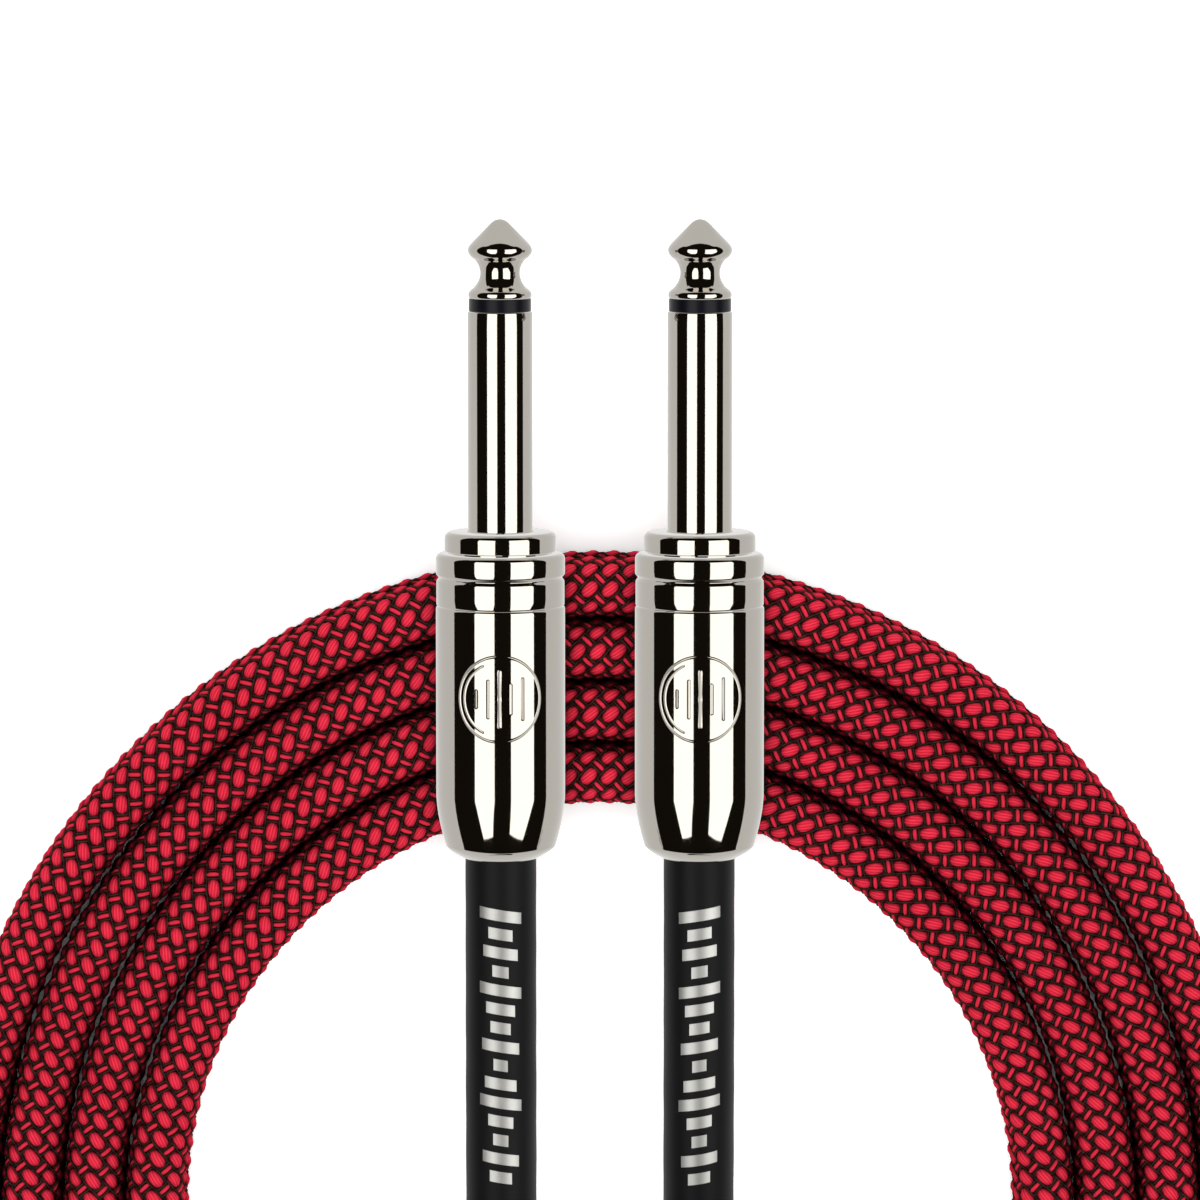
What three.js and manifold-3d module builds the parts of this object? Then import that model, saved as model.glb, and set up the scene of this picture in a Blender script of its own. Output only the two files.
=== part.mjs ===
// Instrument cable: two straight mono phone plugs with turned metal shells, joined by one braided
// cable that is wound into a flat coil of two layers. The plugs lie side by side on the coil.
// Units are millimetres, +Z is up. The origin is on the coil's underside, below the two shells.
import * as THREE from "three";
import { mergeVertices } from "three/addons/utils/BufferGeometryUtils.js";
import Module from "manifold-3d";

const wasm = await Module();
wasm.setup();

// Cable and coil
const CABLE_D = 6.2; // over the textile braid
const TURNS_WIDE = 4; // turns side by side in each layer
const LAYERS = 2;
const COIL_INNER_R = 41.8;
const COIL_OUTER_R = COIL_INNER_R + TURNS_WIDE * CABLE_D + 0.1;
const COIL_MEAN_R = (COIL_INNER_R + COIL_OUTER_R) / 2;
const COIL_HEIGHT = LAYERS * CABLE_D;
const COIL_CENTRE_Y = -COIL_MEAN_R;

// Plugs
const PLUG_X = 9.8; // each plug's axis from the middle plane
const PLUG_REST_GAP = 0.2; // between the shell and the coil it lies on
const SHELL_R = 6.35;
const PLUG_Z = COIL_HEIGHT + PLUG_REST_GAP + SHELL_R;
const PLUG_FROM_COIL_CENTRE = 70.5; // where the plugs' own lengths are measured from
const PLUG_Y = PLUG_FROM_COIL_CENTRE + COIL_CENTRE_Y;
const SHAFT_R = 3.175; // quarter-inch contact shaft
const TIP_LENGTH = 30.2; // with the collar's half millimetre, 30.7 from the seat to the tip's end
const TIP_BACK = 22.45;
const INSULATOR_LENGTH = 1.3;
const COLLAR_R = 5.5;
const COLLAR_FRONT = -0.5; // the seat, which bears on the jack
const COLLAR_BACK = -2.45;
const THREAD_R = 4.9;
const THREAD_BACK = -7.2;
const SHELL_FRONT = -2.6;
const SHELL_BACK = -32.75;
const SHELL_BORE_R = 5.15;
const SHELL_MOUTH_R = 3.7; // the cable's opening at the rear
const LUG_T = 0.5;
const CLEARANCE = 0.1;

// Insulation, wires and sleeve inside and behind the plug
const ROD_R = 1.2;
const ROD_BORE_R = 1.35;
const ROD_TUBE_R = 2.2;
const LINER_R = 4.98;
const LINER_BORE_R = 4.5;
const SLEEVE_R = 3.5;
const SLEEVE_BORE_R = 3.24;
const SLEEVE_START = 6.4; // along the tail from its cut end, still inside the shell
const SLEEVE_LENGTH = 49;
const CABLE_CUT = -19.6; // the braided cable is cut back to here inside the plug

// Tie round the coil, on the side opposite to the plugs
const TIE_WIDTH = 12;
const TIE_T = 1.1;
const TIE_GROOVE = 1.3; // how far the turns arch up over the tie

// Routes of the two cable tails, from inside each plug to the coil: x, y, z about the coil's centre.
const LEFT_TAIL = [
  [-9.8, 50.9, 18.95],
  [-9.8, 37.4, 18.95],
  [-9.8, 24.4, 18.95],
  [-9.8, 12.4, 18.8],
  [-9.8, 2.4, 18.4],
  [-9.8, -12.8, 17.6],
  [-8.3, -21.4, 16.8],
  [-4, -28.9, 15.9],
  [2.7, -34.5, 14.6],
  [8.7, -37, 13.4],
];
const RIGHT_TAIL = [
  [9.8, 50.9, 18.95],
  [9.8, 37.4, 18.95],
  [9.8, 24.4, 18.95],
  [9.8, 12.4, 18.5],
  [9.8, 2.4, 17.3],
  [9.8, -12.8, 14.5],
  [8.3, -21.4, 11.9],
  [4, -28.9, 9.4],
  [-2.7, -34.5, 7.1],
  [-8.7, -37, 5.6],
];
const SLEEVE_POINTS = 9;
const TAIL_STEPS = 16;
const TAIL_SIDES = 10;

const NICKEL = { color: 0xc9c8c4, roughness: 0.12, metalness: 1 };
const BRASS = { color: 0xc8a45a, roughness: 0.35, metalness: 1 };
const TINNED = { color: 0xb9bab8, roughness: 0.4, metalness: 1 };
const COPPER = { color: 0xb87048, roughness: 0.4, metalness: 1 };
const BLACK_PLASTIC = { color: 0x161616, roughness: 0.4, metalness: 0 };
const FIBRE = { color: 0x8a3a2a, roughness: 0.8, metalness: 0 };
const CLEAR_LINER = { color: 0xd8d8d0, roughness: 0.35, metalness: 0 };
const WHITE_PLASTIC = { color: 0xe8e6de, roughness: 0.5, metalness: 0 };
const SHRINK = { color: 0x101010, roughness: 0.55, metalness: 0 };
const BRAID = { color: 0xc01828, roughness: 0.8, metalness: 0 };
const TIE_FABRIC = { color: 0x141414, roughness: 0.95, metalness: 0 };

function makeMesh(name, geometry, finish) {
  const mesh = new THREE.Mesh(geometry, new THREE.MeshStandardMaterial(finish));
  mesh.name = name;
  return mesh;
}

function toSolid(geometry) {
  const bare = geometry.clone();
  bare.deleteAttribute("normal");
  bare.deleteAttribute("uv");
  const merged = mergeVertices(bare, 1e-4);
  return new wasm.Manifold(
    new wasm.Mesh({
      numProp: 3,
      vertProperties: merged.attributes.position.array,
      triVerts: new Uint32Array(merged.index.array),
    }),
  );
}

function toGeometry(solid) {
  const { vertProperties, triVerts } = solid.getMesh();
  return new THREE.BufferGeometry()
    .setAttribute("position", new THREE.BufferAttribute(vertProperties, 3))
    .setIndex(new THREE.BufferAttribute(triVerts, 1));
}

// A solid of revolution about Y. The outline's [radius, y] points run from the rear to the front,
// outside; a closed outline comes back along the bore.
function turned(outline, segments = 24) {
  const points = outline.map(([r, y]) => new THREE.Vector2(r, y));
  return new THREE.LatheGeometry(points, segments);
}

function tubeOutline(boreR, outerR, back, front) {
  return [
    [boreR, back],
    [outerR, back],
    [outerR, front],
    [boreR, front],
    [boreR, back],
  ];
}

// Points on a round corner from one angle to another, in degrees, about a centre in the outline.
function corner(centreR, centreY, radius, from, to, steps = 2) {
  return Array.from({ length: steps + 1 }, (_, i) => {
    const angle = THREE.MathUtils.degToRad(from + ((to - from) * i) / steps);
    return [centreR + radius * Math.cos(angle), centreY + radius * Math.sin(angle)];
  });
}

function box(width, length, height, x, y, z) {
  return new THREE.BoxGeometry(width, length, height).translate(x, y, z);
}

// The ball contact at the front with its centre rod, riveted over at the rear.
function tipContact() {
  const rivet = THREAD_BACK - 3.1;
  const outline = [
    [0, rivet],
    [1.6, rivet],
    [1.9, rivet + 0.2],
    [1.9, rivet + 0.6],
    [ROD_R, rivet + 0.6],
    [ROD_R, TIP_BACK],
    [2.9, TIP_BACK],
    [3.12, TIP_BACK + 0.2],
    [3.12, TIP_BACK + 0.6],
    [2.75, TIP_BACK + 1],
    [2.25, TIP_BACK + 1.4],
    [2.02, TIP_BACK + 1.9],
    [2, TIP_BACK + 2.9],
    [2.3, TIP_BACK + 3.5],
    [2.85, TIP_BACK + 4.1],
    [3.15, TIP_BACK + 4.6],
    [3.12, TIP_BACK + 5.1],
    [0.75, TIP_LENGTH - 0.2],
    [0.4, TIP_LENGTH - 0.04],
    [0, TIP_LENGTH],
  ];
  return turned(outline);
}

// The black ring between the tip and the sleeve contact.
function tipInsulator() {
  const front = TIP_BACK - CLEARANCE;
  return turned(tubeOutline(ROD_BORE_R, 3.05, front - INSULATOR_LENGTH, front));
}

// The tube that keeps the centre rod off the sleeve contact.
function rodTube() {
  const front = TIP_BACK - INSULATOR_LENGTH - 2 * CLEARANCE;
  return turned(tubeOutline(ROD_BORE_R, ROD_TUBE_R, THREAD_BACK - 0.6, front), 16);
}

// The grounded contact: shaft, seating collar and rear thread, turned in one piece.
function sleeveContact() {
  const bore = ROD_TUBE_R + 0.15;
  const front = TIP_BACK - INSULATOR_LENGTH - 2 * CLEARANCE;
  const outline = [
    [bore, THREAD_BACK],
    [THREAD_R - 0.3, THREAD_BACK],
    [THREAD_R, THREAD_BACK + 0.3],
    [THREAD_R, COLLAR_BACK - 0.6],
    [THREAD_R - 0.4, COLLAR_BACK - 0.4],
    [THREAD_R - 0.4, COLLAR_BACK],
    [COLLAR_R, COLLAR_BACK],
    ...corner(COLLAR_R - 0.6, COLLAR_FRONT - 0.6, 0.6, 0, 90),
    [SHAFT_R, COLLAR_FRONT],
    [SHAFT_R, front - 0.2],
    [SHAFT_R - 0.15, front],
    [bore, front],
    [bore, THREAD_BACK],
  ];
  return turned(outline);
}

// The fibre washer between the two solder lugs.
function rearInsulator() {
  const front = THREAD_BACK - 2 * CLEARANCE - LUG_T;
  return turned(tubeOutline(ROD_BORE_R, 3.2, front - 0.9, front), 16);
}

// The solder lug under the rivet, with its tongue reaching back above the cable.
function tipLug() {
  const front = THREAD_BACK - 1.9;
  const washer = toSolid(turned(tubeOutline(ROD_BORE_R, 3, front - LUG_T, front), 16));
  const tongue = toSolid(box(2.2, 5.6, LUG_T, 0, front - 2.8, 2.6));
  const rise = toSolid(box(2.2, LUG_T, 0.9, 0, front - LUG_T / 2, 2.4));
  const eye = new THREE.CylinderGeometry(0.5, 0.5, 2, 10).rotateX(Math.PI / 2);
  const hole = toSolid(eye.translate(0, front - 4.4, 2.6));
  return toGeometry(washer.add(rise).add(tongue).subtract(hole));
}

// The ground lug: a washer on the body, a long strip, and the claw that grips the cable.
function groundLug() {
  const front = THREAD_BACK - CLEARANCE;
  const washer = toSolid(turned(tubeOutline(2.5, 4.2, front - LUG_T, front), 16));
  const stripBack = -25;
  const strip = toSolid(
    box(3.2, front - stripBack, LUG_T, 0, (front + stripBack) / 2, -3.6),
  );
  const clawR = CABLE_D / 2 + 0.12;
  const claw = new THREE.Shape();
  claw.absarc(0, 0, clawR + LUG_T, -0.3, Math.PI + 0.3, true);
  claw.absarc(0, 0, clawR, Math.PI + 0.3, -0.3, false);
  claw.closePath();
  const grip = new THREE.ExtrudeGeometry(claw, {
    depth: 4.6,
    bevelEnabled: false,
    curveSegments: 8,
  });
  const gripSolid = toSolid(grip.rotateX(Math.PI / 2).translate(0, CABLE_CUT - 0.5, 0));
  return toGeometry(washer.add(strip).add(gripSolid));
}

// The plastic tube that keeps the lugs off the shell.
function insulatingLiner() {
  return turned(tubeOutline(LINER_BORE_R, LINER_R, -29.2, THREAD_BACK - 1.2));
}

// The outer barrel that screws on to the body, with its two turned rings and tapered rear.
function shellOutline() {
  const taperFront = -26.4;
  const taperLength = 5.1;
  const taper = Array.from({ length: 6 }, (_, i) => {
    const share = (5 - i) / 5;
    return [SHELL_R - 0.88 * share ** 1.7, taperFront - taperLength * share];
  });
  const roundLength = taperFront - taperLength - SHELL_BACK;
  const rearEdge = Array.from({ length: 4 }, (_, i) => {
    const share = (4 - i) / 4;
    const grown = SHELL_R - 0.88 - SHELL_MOUTH_R - 0.05;
    const radius = SHELL_MOUTH_R + 0.05 + grown * (1 - share ** 1.5);
    return [radius, taperFront - taperLength - roundLength * share];
  });
  return [
    [SHELL_MOUTH_R, SHELL_BACK],
    ...rearEdge,
    ...taper,
    [SHELL_R, -7.95],
    [SHELL_R - 0.2, -7.8],
    [SHELL_R - 0.13, -7.65],
    [SHELL_R - 0.13, -5.4],
    [SHELL_R - 0.32, -5.1],
    [SHELL_R - 0.2, -4.8],
    [SHELL_R, -4.65],
    ...corner(SHELL_R - 0.55, SHELL_FRONT - 0.55, 0.55, 0, 90),
    [SHELL_BORE_R, SHELL_FRONT],
    [SHELL_BORE_R, -29.6],
    [SHELL_MOUTH_R, -29.6],
    [SHELL_MOUTH_R, SHELL_BACK],
  ];
}

function curveThrough(points) {
  return new THREE.CatmullRomCurve3(points.map((p) => new THREE.Vector3(...p)));
}

// A round wire or cable along a smooth curve through the points.
function wireAlong(points, radius, sides, steps) {
  const section = new THREE.Shape();
  section.absarc(0, 0, radius, 0, Math.PI * 2, false);
  return new THREE.ExtrudeGeometry(section, {
    steps,
    curveSegments: sides / 2,
    extrudePath: curveThrough(points),
    bevelEnabled: false,
  });
}

// The cable's stripped end: its screen layer, core insulation, bare centre conductor and braid.
function noiseScreen() {
  return wireAlong([[0, CABLE_CUT + 0.3, 0], [0, CABLE_CUT + 1.5, 0]], 1.5, 10, 1);
}

function coreInsulation() {
  return wireAlong(
    [
      [0, CABLE_CUT + 1.8, 0],
      [0, CABLE_CUT + 3, 0.3],
      [0, CABLE_CUT + 4.2, 1],
    ],
    1,
    12,
    5,
  );
}

function centreConductor() {
  return wireAlong(
    [
      [0, CABLE_CUT + 4.7, 1.4],
      [0, CABLE_CUT + 5.5, 1.8],
      [0, CABLE_CUT + 6.4, 1.85],
    ],
    0.35,
    8,
    4,
  );
}

function shieldPigtail() {
  return wireAlong(
    [
      [0, CABLE_CUT + 0.3, -2.3],
      [0.2, CABLE_CUT + 2.2, -2.45],
      [-0.1, CABLE_CUT + 4.2, -2.6],
    ],
    0.55,
    8,
    5,
  );
}

function solderBead(y, z, length) {
  const bead = new THREE.SphereGeometry(1, 10, 6).scale(0.85, length / 2, 0.55);
  return bead.translate(0, y, z);
}

function tailTube(route) {
  return wireAlong(route, CABLE_D / 2 - 0.02, TAIL_SIDES, TAIL_STEPS);
}

// The glued heat-shrink sleeve that stiffens the cable behind the plug, along the tail's own curve.
function shrinkSleeve(route) {
  const tail = curveThrough(route);
  const length = tail.getLength();
  const points = Array.from({ length: SLEEVE_POINTS }, (_, i) => {
    const along = SLEEVE_START + (SLEEVE_LENGTH * i) / (SLEEVE_POINTS - 1);
    return tail.getPointAt(along / length);
  });
  const section = new THREE.Shape();
  section.absarc(0, 0, SLEEVE_R, 0, Math.PI * 2, false);
  const bore = new THREE.Path();
  bore.absarc(0, 0, SLEEVE_BORE_R, 0, Math.PI * 2, true);
  section.holes.push(bore);
  return new THREE.ExtrudeGeometry(section, {
    steps: 6,
    curveSegments: 8,
    extrudePath: new THREE.CatmullRomCurve3(points),
    bevelEnabled: false,
  });
}

// The coil's outer shape: a flat ring with rounded corners, grooved below where the tie passes.
function coilRing() {
  const r = CABLE_D / 2;
  const inner = COIL_INNER_R + r;
  const outer = COIL_OUTER_R - r;
  const outline = [
    ...corner(outer, r, r, -90, 0),
    ...corner(outer, COIL_HEIGHT - r, r, 0, 90),
    ...corner(inner, COIL_HEIGHT - r, r, 90, 180),
    ...corner(inner, r, r, 180, 270),
    [outer, 0],
  ];
  const ring = turned(outline, 56).rotateX(Math.PI / 2);
  const depth = COIL_OUTER_R - COIL_INNER_R + 10;
  const groove = box(TIE_WIDTH + 1, depth, 2 * TIE_GROOVE, 0, -COIL_MEAN_R, 0);
  return toGeometry(toSolid(ring).subtract(toSolid(groove)));
}

// The hook-and-loop strap, a closed band round the ring's section.
function cableTie() {
  const inside = {
    y0: -COIL_OUTER_R - 0.4,
    y1: -COIL_INNER_R + 0.9,
    z0: 0.05 + TIE_T,
    z1: COIL_HEIGHT + TIE_GROOVE,
  };
  const rounded = (shape, grow) => {
    const radius = 1.5 + grow;
    const [y0, y1] = [inside.y0 - grow, inside.y1 + grow];
    const [z0, z1] = [inside.z0 - grow, inside.z1 + grow];
    shape.absarc(y1 - radius, z0 + radius, radius, -Math.PI / 2, 0, false);
    shape.absarc(y1 - radius, z1 - radius, radius, 0, Math.PI / 2, false);
    shape.absarc(y0 + radius, z1 - radius, radius, Math.PI / 2, Math.PI, false);
    shape.absarc(y0 + radius, z0 + radius, radius, Math.PI, Math.PI * 1.5, false);
    shape.closePath();
    return shape;
  };
  const band = rounded(new THREE.Shape(), TIE_T);
  band.holes.push(rounded(new THREE.Path(), 0));
  const strap = new THREE.ExtrudeGeometry(band, {
    depth: TIE_WIDTH,
    curveSegments: 3,
    bevelEnabled: false,
  });
  // The outline is drawn as (y, z): turn it so that its depth runs along X.
  const turn = new THREE.Matrix4().makeBasis(
    new THREE.Vector3(0, 1, 0),
    new THREE.Vector3(0, 0, 1),
    new THREE.Vector3(1, 0, 0),
  );
  return strap.applyMatrix4(turn).translate(-TIE_WIDTH / 2, 0, 0);
}

function makePlug(side, x) {
  const plug = new THREE.Group();
  plug.position.set(x, PLUG_Y, PLUG_Z);
  const pieces = [
    ["tip_contact", tipContact(), NICKEL],
    ["tip_insulator", tipInsulator(), BLACK_PLASTIC],
    ["rod_insulating_tube", rodTube(), BLACK_PLASTIC],
    ["sleeve_contact", sleeveContact(), NICKEL],
    ["rear_insulator", rearInsulator(), FIBRE],
    ["tip_lug", tipLug(), TINNED],
    ["ground_lug", groundLug(), BRASS],
    ["insulating_liner", insulatingLiner(), CLEAR_LINER],
    ["shell", turned(shellOutline(), 28), NICKEL],
    ["noise_screen", noiseScreen(), BLACK_PLASTIC],
    ["core_insulation", coreInsulation(), WHITE_PLASTIC],
    ["centre_conductor", centreConductor(), COPPER],
    ["shield_pigtail", shieldPigtail(), COPPER],
    ["tip_solder", solderBead(CABLE_CUT + 7.5, 1.7, 1.8), TINNED],
    ["ground_solder", solderBead(CABLE_CUT + 5.7, -2.7, 2), TINNED],
  ];
  for (const [name, geometry, finish] of pieces) {
    plug.add(makeMesh(`${side}_${name}`, geometry, finish));
  }
  return plug;
}

function makeCoil() {
  const coil = new THREE.Group();
  coil.position.y = COIL_CENTRE_Y;
  coil.add(makeMesh("cable_coil", coilRing(), BRAID));
  coil.add(makeMesh("cable_tie", cableTie(), TIE_FABRIC));
  for (const [side, route] of [["left", LEFT_TAIL], ["right", RIGHT_TAIL]]) {
    coil.add(makeMesh(`${side}_cable_tail`, tailTube(route), BRAID));
    coil.add(makeMesh(`${side}_shrink_sleeve`, shrinkSleeve(route), SHRINK));
  }
  return coil;
}

const instrumentCable = new THREE.Group();
instrumentCable.add(makePlug("left", -PLUG_X));
instrumentCable.add(makePlug("right", PLUG_X));
instrumentCable.add(makeCoil());

export default instrumentCable;
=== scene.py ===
"""Looks of a coiled instrument cable: braided cord, two quarter-inch plugs, shrink sleeves and a tie.

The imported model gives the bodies. Each class below builds one sub-assembly in metres, in the same frame.
"""

import logging
import math
from dataclasses import dataclass, field
from enum import Enum
from typing import Callable, Mapping, Optional, Sequence

import bmesh
import bpy
import numpy as np
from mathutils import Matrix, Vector


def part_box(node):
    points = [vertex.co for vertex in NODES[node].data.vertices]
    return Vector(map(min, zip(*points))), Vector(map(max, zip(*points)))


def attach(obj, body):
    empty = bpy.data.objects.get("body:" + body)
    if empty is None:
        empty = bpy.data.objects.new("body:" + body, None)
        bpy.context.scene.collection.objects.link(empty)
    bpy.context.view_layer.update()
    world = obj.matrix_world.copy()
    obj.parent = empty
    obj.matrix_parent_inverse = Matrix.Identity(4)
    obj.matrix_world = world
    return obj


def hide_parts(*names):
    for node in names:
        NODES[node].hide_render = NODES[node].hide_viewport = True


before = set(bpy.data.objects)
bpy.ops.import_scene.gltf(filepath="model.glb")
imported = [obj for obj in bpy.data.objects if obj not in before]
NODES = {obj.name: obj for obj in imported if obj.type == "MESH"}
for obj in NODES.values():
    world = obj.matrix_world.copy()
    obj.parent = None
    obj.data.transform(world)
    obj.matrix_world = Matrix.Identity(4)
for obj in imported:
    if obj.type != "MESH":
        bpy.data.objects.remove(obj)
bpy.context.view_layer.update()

LOG = logging.getLogger("instrument_cable")
MM = 0.001
ROOT_BODY = "cable_and_plug_bodies"
COIL_CENTRE_Y = -54.25  # the coil's centre in the part's frame, mm
PLUG_X, PLUG_Z = 9.8, 18.95  # how far each plug's axis lies from the middle, and its height, mm
UP = np.array([0.0, 0.0, 1.0])
FULL_TURN = 2 * math.pi
STRAND_START_MM = 3.7  # each strand's streaks start this much later than the one before's, so that none repeat


# ---------------------------------------------------------------- helpers


def linear(hex_colour: str) -> tuple[float, float, float, float]:
    """Turns an sRGB hex colour into linear RGBA.

    Args:
        hex_colour: Six hex digits with a leading #.

    Returns:
        Linear red, green, blue and an alpha of one.
    """
    parts = [int(hex_colour[i : i + 2], 16) / 255 for i in (1, 3, 5)]
    toned = [c / 12.92 if c <= 0.04045 else ((c + 0.055) / 1.055) ** 2.4 for c in parts]
    return (toned[0], toned[1], toned[2], 1.0)


def add_node(
    tree: bpy.types.NodeTree,
    kind: str,
    settings: Optional[Mapping] = None,
    links: Optional[Mapping] = None,
) -> bpy.types.Node:
    """Adds one shader node with its settings and incoming links.

    Args:
        tree: The node tree that takes the node.
        kind: Blender's type name of the node.
        settings: Socket names or numbers, or node properties, with their values.
        links: Socket names or numbers with the output sockets that feed them.

    Returns:
        The new node.
    """
    node = tree.nodes.new(kind)
    properties = {k: v for k, v in (settings or {}).items() if isinstance(k, str) and hasattr(node, k)}
    for key, value in properties.items():
        setattr(node, key, value)
    for key, value in (settings or {}).items():
        if key not in properties:
            node.inputs[key].default_value = value
    for key, source in (links or {}).items():
        tree.links.new(source, node.inputs[key])
    return node


def smooth_step(t: np.ndarray) -> np.ndarray:
    """Eases a ramp from nought to one with flat ends."""
    c = np.clip(t, 0, 1)
    return c * c * (3 - 2 * c)


def unit(v: np.ndarray) -> np.ndarray:
    """Scales each vector in an array to a length of one."""
    return v / np.maximum(np.linalg.norm(v, axis=-1, keepdims=True), 1e-12)


def travelled(points: np.ndarray) -> np.ndarray:
    """Measures how far along a line of points each one lies."""
    return np.concatenate([[0], np.cumsum(np.linalg.norm(np.diff(points, axis=0), axis=1))])


def round_steps(count: int) -> np.ndarray:
    """Gives evenly spaced angles once round, in radians."""
    return np.arange(count) / count * FULL_TURN


def unseen(piece: bpy.types.Object, *rays: str) -> None:
    """Hides a piece from kinds of rays, such as glossy ones."""
    for ray in rays:
        setattr(piece, f"visible_{ray}", False)


def ring_quads(rings: int, segments: int, closed: bool = False) -> np.ndarray:
    """Joins each ring of vertices to the next one with quads.

    Args:
        rings: How many rings there are, numbered one after another.
        segments: Vertices in each ring.
        closed: Whether the last ring also joins the first.

    Returns:
        Four vertex numbers a row.
    """
    a = np.arange(rings if closed else rings - 1)[:, None]
    b = (a + 1) % rings
    j = np.arange(segments)[None]
    n = (j + 1) % segments
    return np.stack([a * segments + j, b * segments + j, b * segments + n, a * segments + n], -1).reshape(-1, 4)


def make_piece(
    name: str,
    verts_mm: np.ndarray,
    quads: np.ndarray,
    caps: Sequence[Sequence[int]] = (),
    uv: Optional[np.ndarray] = None,
    sharp_deg: float = 40,
    crown: Optional[np.ndarray] = None,
) -> bpy.types.Object:
    """Makes a smooth mesh object from millimetre arrays.

    Args:
        name: The piece's name.
        verts_mm: Vertex positions, one row each, in millimetres.
        quads: Four vertex numbers a row.
        caps: Other faces, each a list of vertex numbers.
        uv: Coordinates of each quad's corners, in the quads' order.
        sharp_deg: Edges bent more than this stay crisp.
        crown: How far each vertex stands out of the weave, from nought to one.

    Returns:
        The object, linked to the scene.
    """
    mesh = bpy.data.meshes.new(name)
    quads = np.asarray(quads, np.int32).reshape(-1, 4)
    loops = np.concatenate([quads.ravel(), *[np.array(cap, np.int32) for cap in caps]])
    sizes = np.concatenate([np.full(len(quads), 4), [len(cap) for cap in caps]]).astype(np.int32)
    starts = np.concatenate([[0], np.cumsum(sizes)[:-1]]).astype(np.int32)
    mesh.vertices.add(len(verts_mm))
    mesh.vertices.foreach_set("co", (np.asarray(verts_mm, float) * MM).astype(np.float32).ravel())
    mesh.loops.add(len(loops))
    mesh.loops.foreach_set("vertex_index", loops.astype(np.int32))
    mesh.polygons.add(len(sizes))
    mesh.polygons.foreach_set("loop_start", starts)
    mesh.update(calc_edges=True)
    if uv is not None:
        layer = mesh.uv_layers.new(name="surface")
        corners = np.zeros((len(loops), 2), np.float32)
        corners[: 4 * len(quads)] = np.asarray(uv, np.float32).reshape(-1, 2)
        layer.data.foreach_set("uv", corners.ravel())
    if crown is not None:
        height = mesh.attributes.new("crown", "FLOAT", "POINT")
        height.data.foreach_set("value", np.asarray(crown, np.float32).ravel())
    mesh.shade_smooth()
    mesh.set_sharp_from_angle(angle=math.radians(sharp_deg))
    piece = bpy.data.objects.new(name, mesh)
    bpy.context.scene.collection.objects.link(piece)
    return piece


def sweep(
    centre: np.ndarray, side: np.ndarray, out: np.ndarray, section: np.ndarray
) -> tuple[np.ndarray, np.ndarray, list[list[int]], np.ndarray]:
    """Sweeps one closed section along several strands at once.

    Args:
        centre: Strand centres, strands x samples x 3.
        side: Unit vectors across the strand, of the same shape.
        out: Unit vectors that point out of it, of the same shape.
        section: Section points across and out, one row each.

    Returns:
        Vertices, quads, end caps and the quads' corner coordinates, along in millimetres and round from nought to one.
    """
    strands, samples, _ = centre.shape
    ring = len(section)
    verts = (
        centre[:, :, None]
        + section[None, None, :, 0:1] * side[:, :, None]
        + section[None, None, :, 1:2] * out[:, :, None]
    )
    k, m, i = np.meshgrid(np.arange(strands), np.arange(samples - 1), np.arange(ring), indexing="ij")
    near_ring = (k * samples + m) * ring
    far_ring, i_next = near_ring + ring, (i + 1) % ring
    quads = np.stack([near_ring + i, near_ring + i_next, far_ring + i_next, far_ring + i], -1).reshape(-1, 4)
    step = np.linalg.norm(np.diff(centre, axis=1), axis=-1)
    start = np.arange(strands)[:, None] * STRAND_START_MM
    along = np.concatenate([np.zeros((strands, 1)), np.cumsum(step, 1)], 1) + start
    near, far = along[k, m], along[k, m + 1]
    low, high = i / ring, (i + 1) / ring
    uv = np.stack([near, low, near, high, far, high, far, low], -1).reshape(-1, 4, 2)
    caps = []
    for strand in range(strands):
        first, last = strand * samples * ring, (strand * samples + samples - 1) * ring
        caps.append([first + j for j in reversed(range(ring))])
        caps.append([last + j for j in range(ring)])
    return verts.reshape(-1, 3), quads, caps, uv


def turned(
    name: str,
    profile: np.ndarray,
    axis_x: float,
    axis_z: float,
    seat_y: float,
    segments: int = 128,
    ripple: Optional[Callable[[np.ndarray, np.ndarray], np.ndarray]] = None,
    closed: bool = True,
    sharp_deg: float = 32,
) -> bpy.types.Object:
    """Turns a profile about a line along Y, as on a lathe.

    Args:
        name: The piece's name.
        profile: Points of distance along Y and radius, in millimetres, in the order that keeps metal on one side.
        axis_x: The line's X in millimetres.
        axis_z: The line's Z in millimetres.
        seat_y: Y of the profile's nought.
        segments: Steps round the line.
        ripple: Extra radius for a distance along and an angle round, such as a screw thread.
        closed: Whether the profile is a ring; otherwise it starts and ends on the line.
        sharp_deg: Edges bent more than this stay crisp.

    Returns:
        The turned piece.
    """
    turn = round_steps(segments)
    y, r = profile[:, 0][:, None], profile[:, 1][:, None]
    radius = r + (ripple(y, turn[None, :]) if ripple else 0.0) + 0 * turn[None, :]
    verts = np.stack(
        [axis_x + radius * np.sin(turn), seat_y + y + 0 * radius, axis_z + radius * np.cos(turn)], -1
    )
    rows = len(profile)
    quads = ring_quads(rows, segments, closed)
    j = np.arange(segments)
    caps = [] if closed else [list(j[::-1]), list((rows - 1) * segments + j)]
    length = travelled(profile)
    length = np.append(length, length[-1] + 1)
    a, round_at = np.meshgrid(np.arange(len(quads) // segments), j / segments, indexing="ij")
    near, far, round_next = length[a], length[a + 1], round_at + 1 / segments
    uv = np.stack([round_at, near, round_at, far, round_next, far, round_next, near], -1).reshape(-1, 4, 2)
    return outward(make_piece(name, verts.reshape(-1, 3), quads, caps, uv, sharp_deg))


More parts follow.
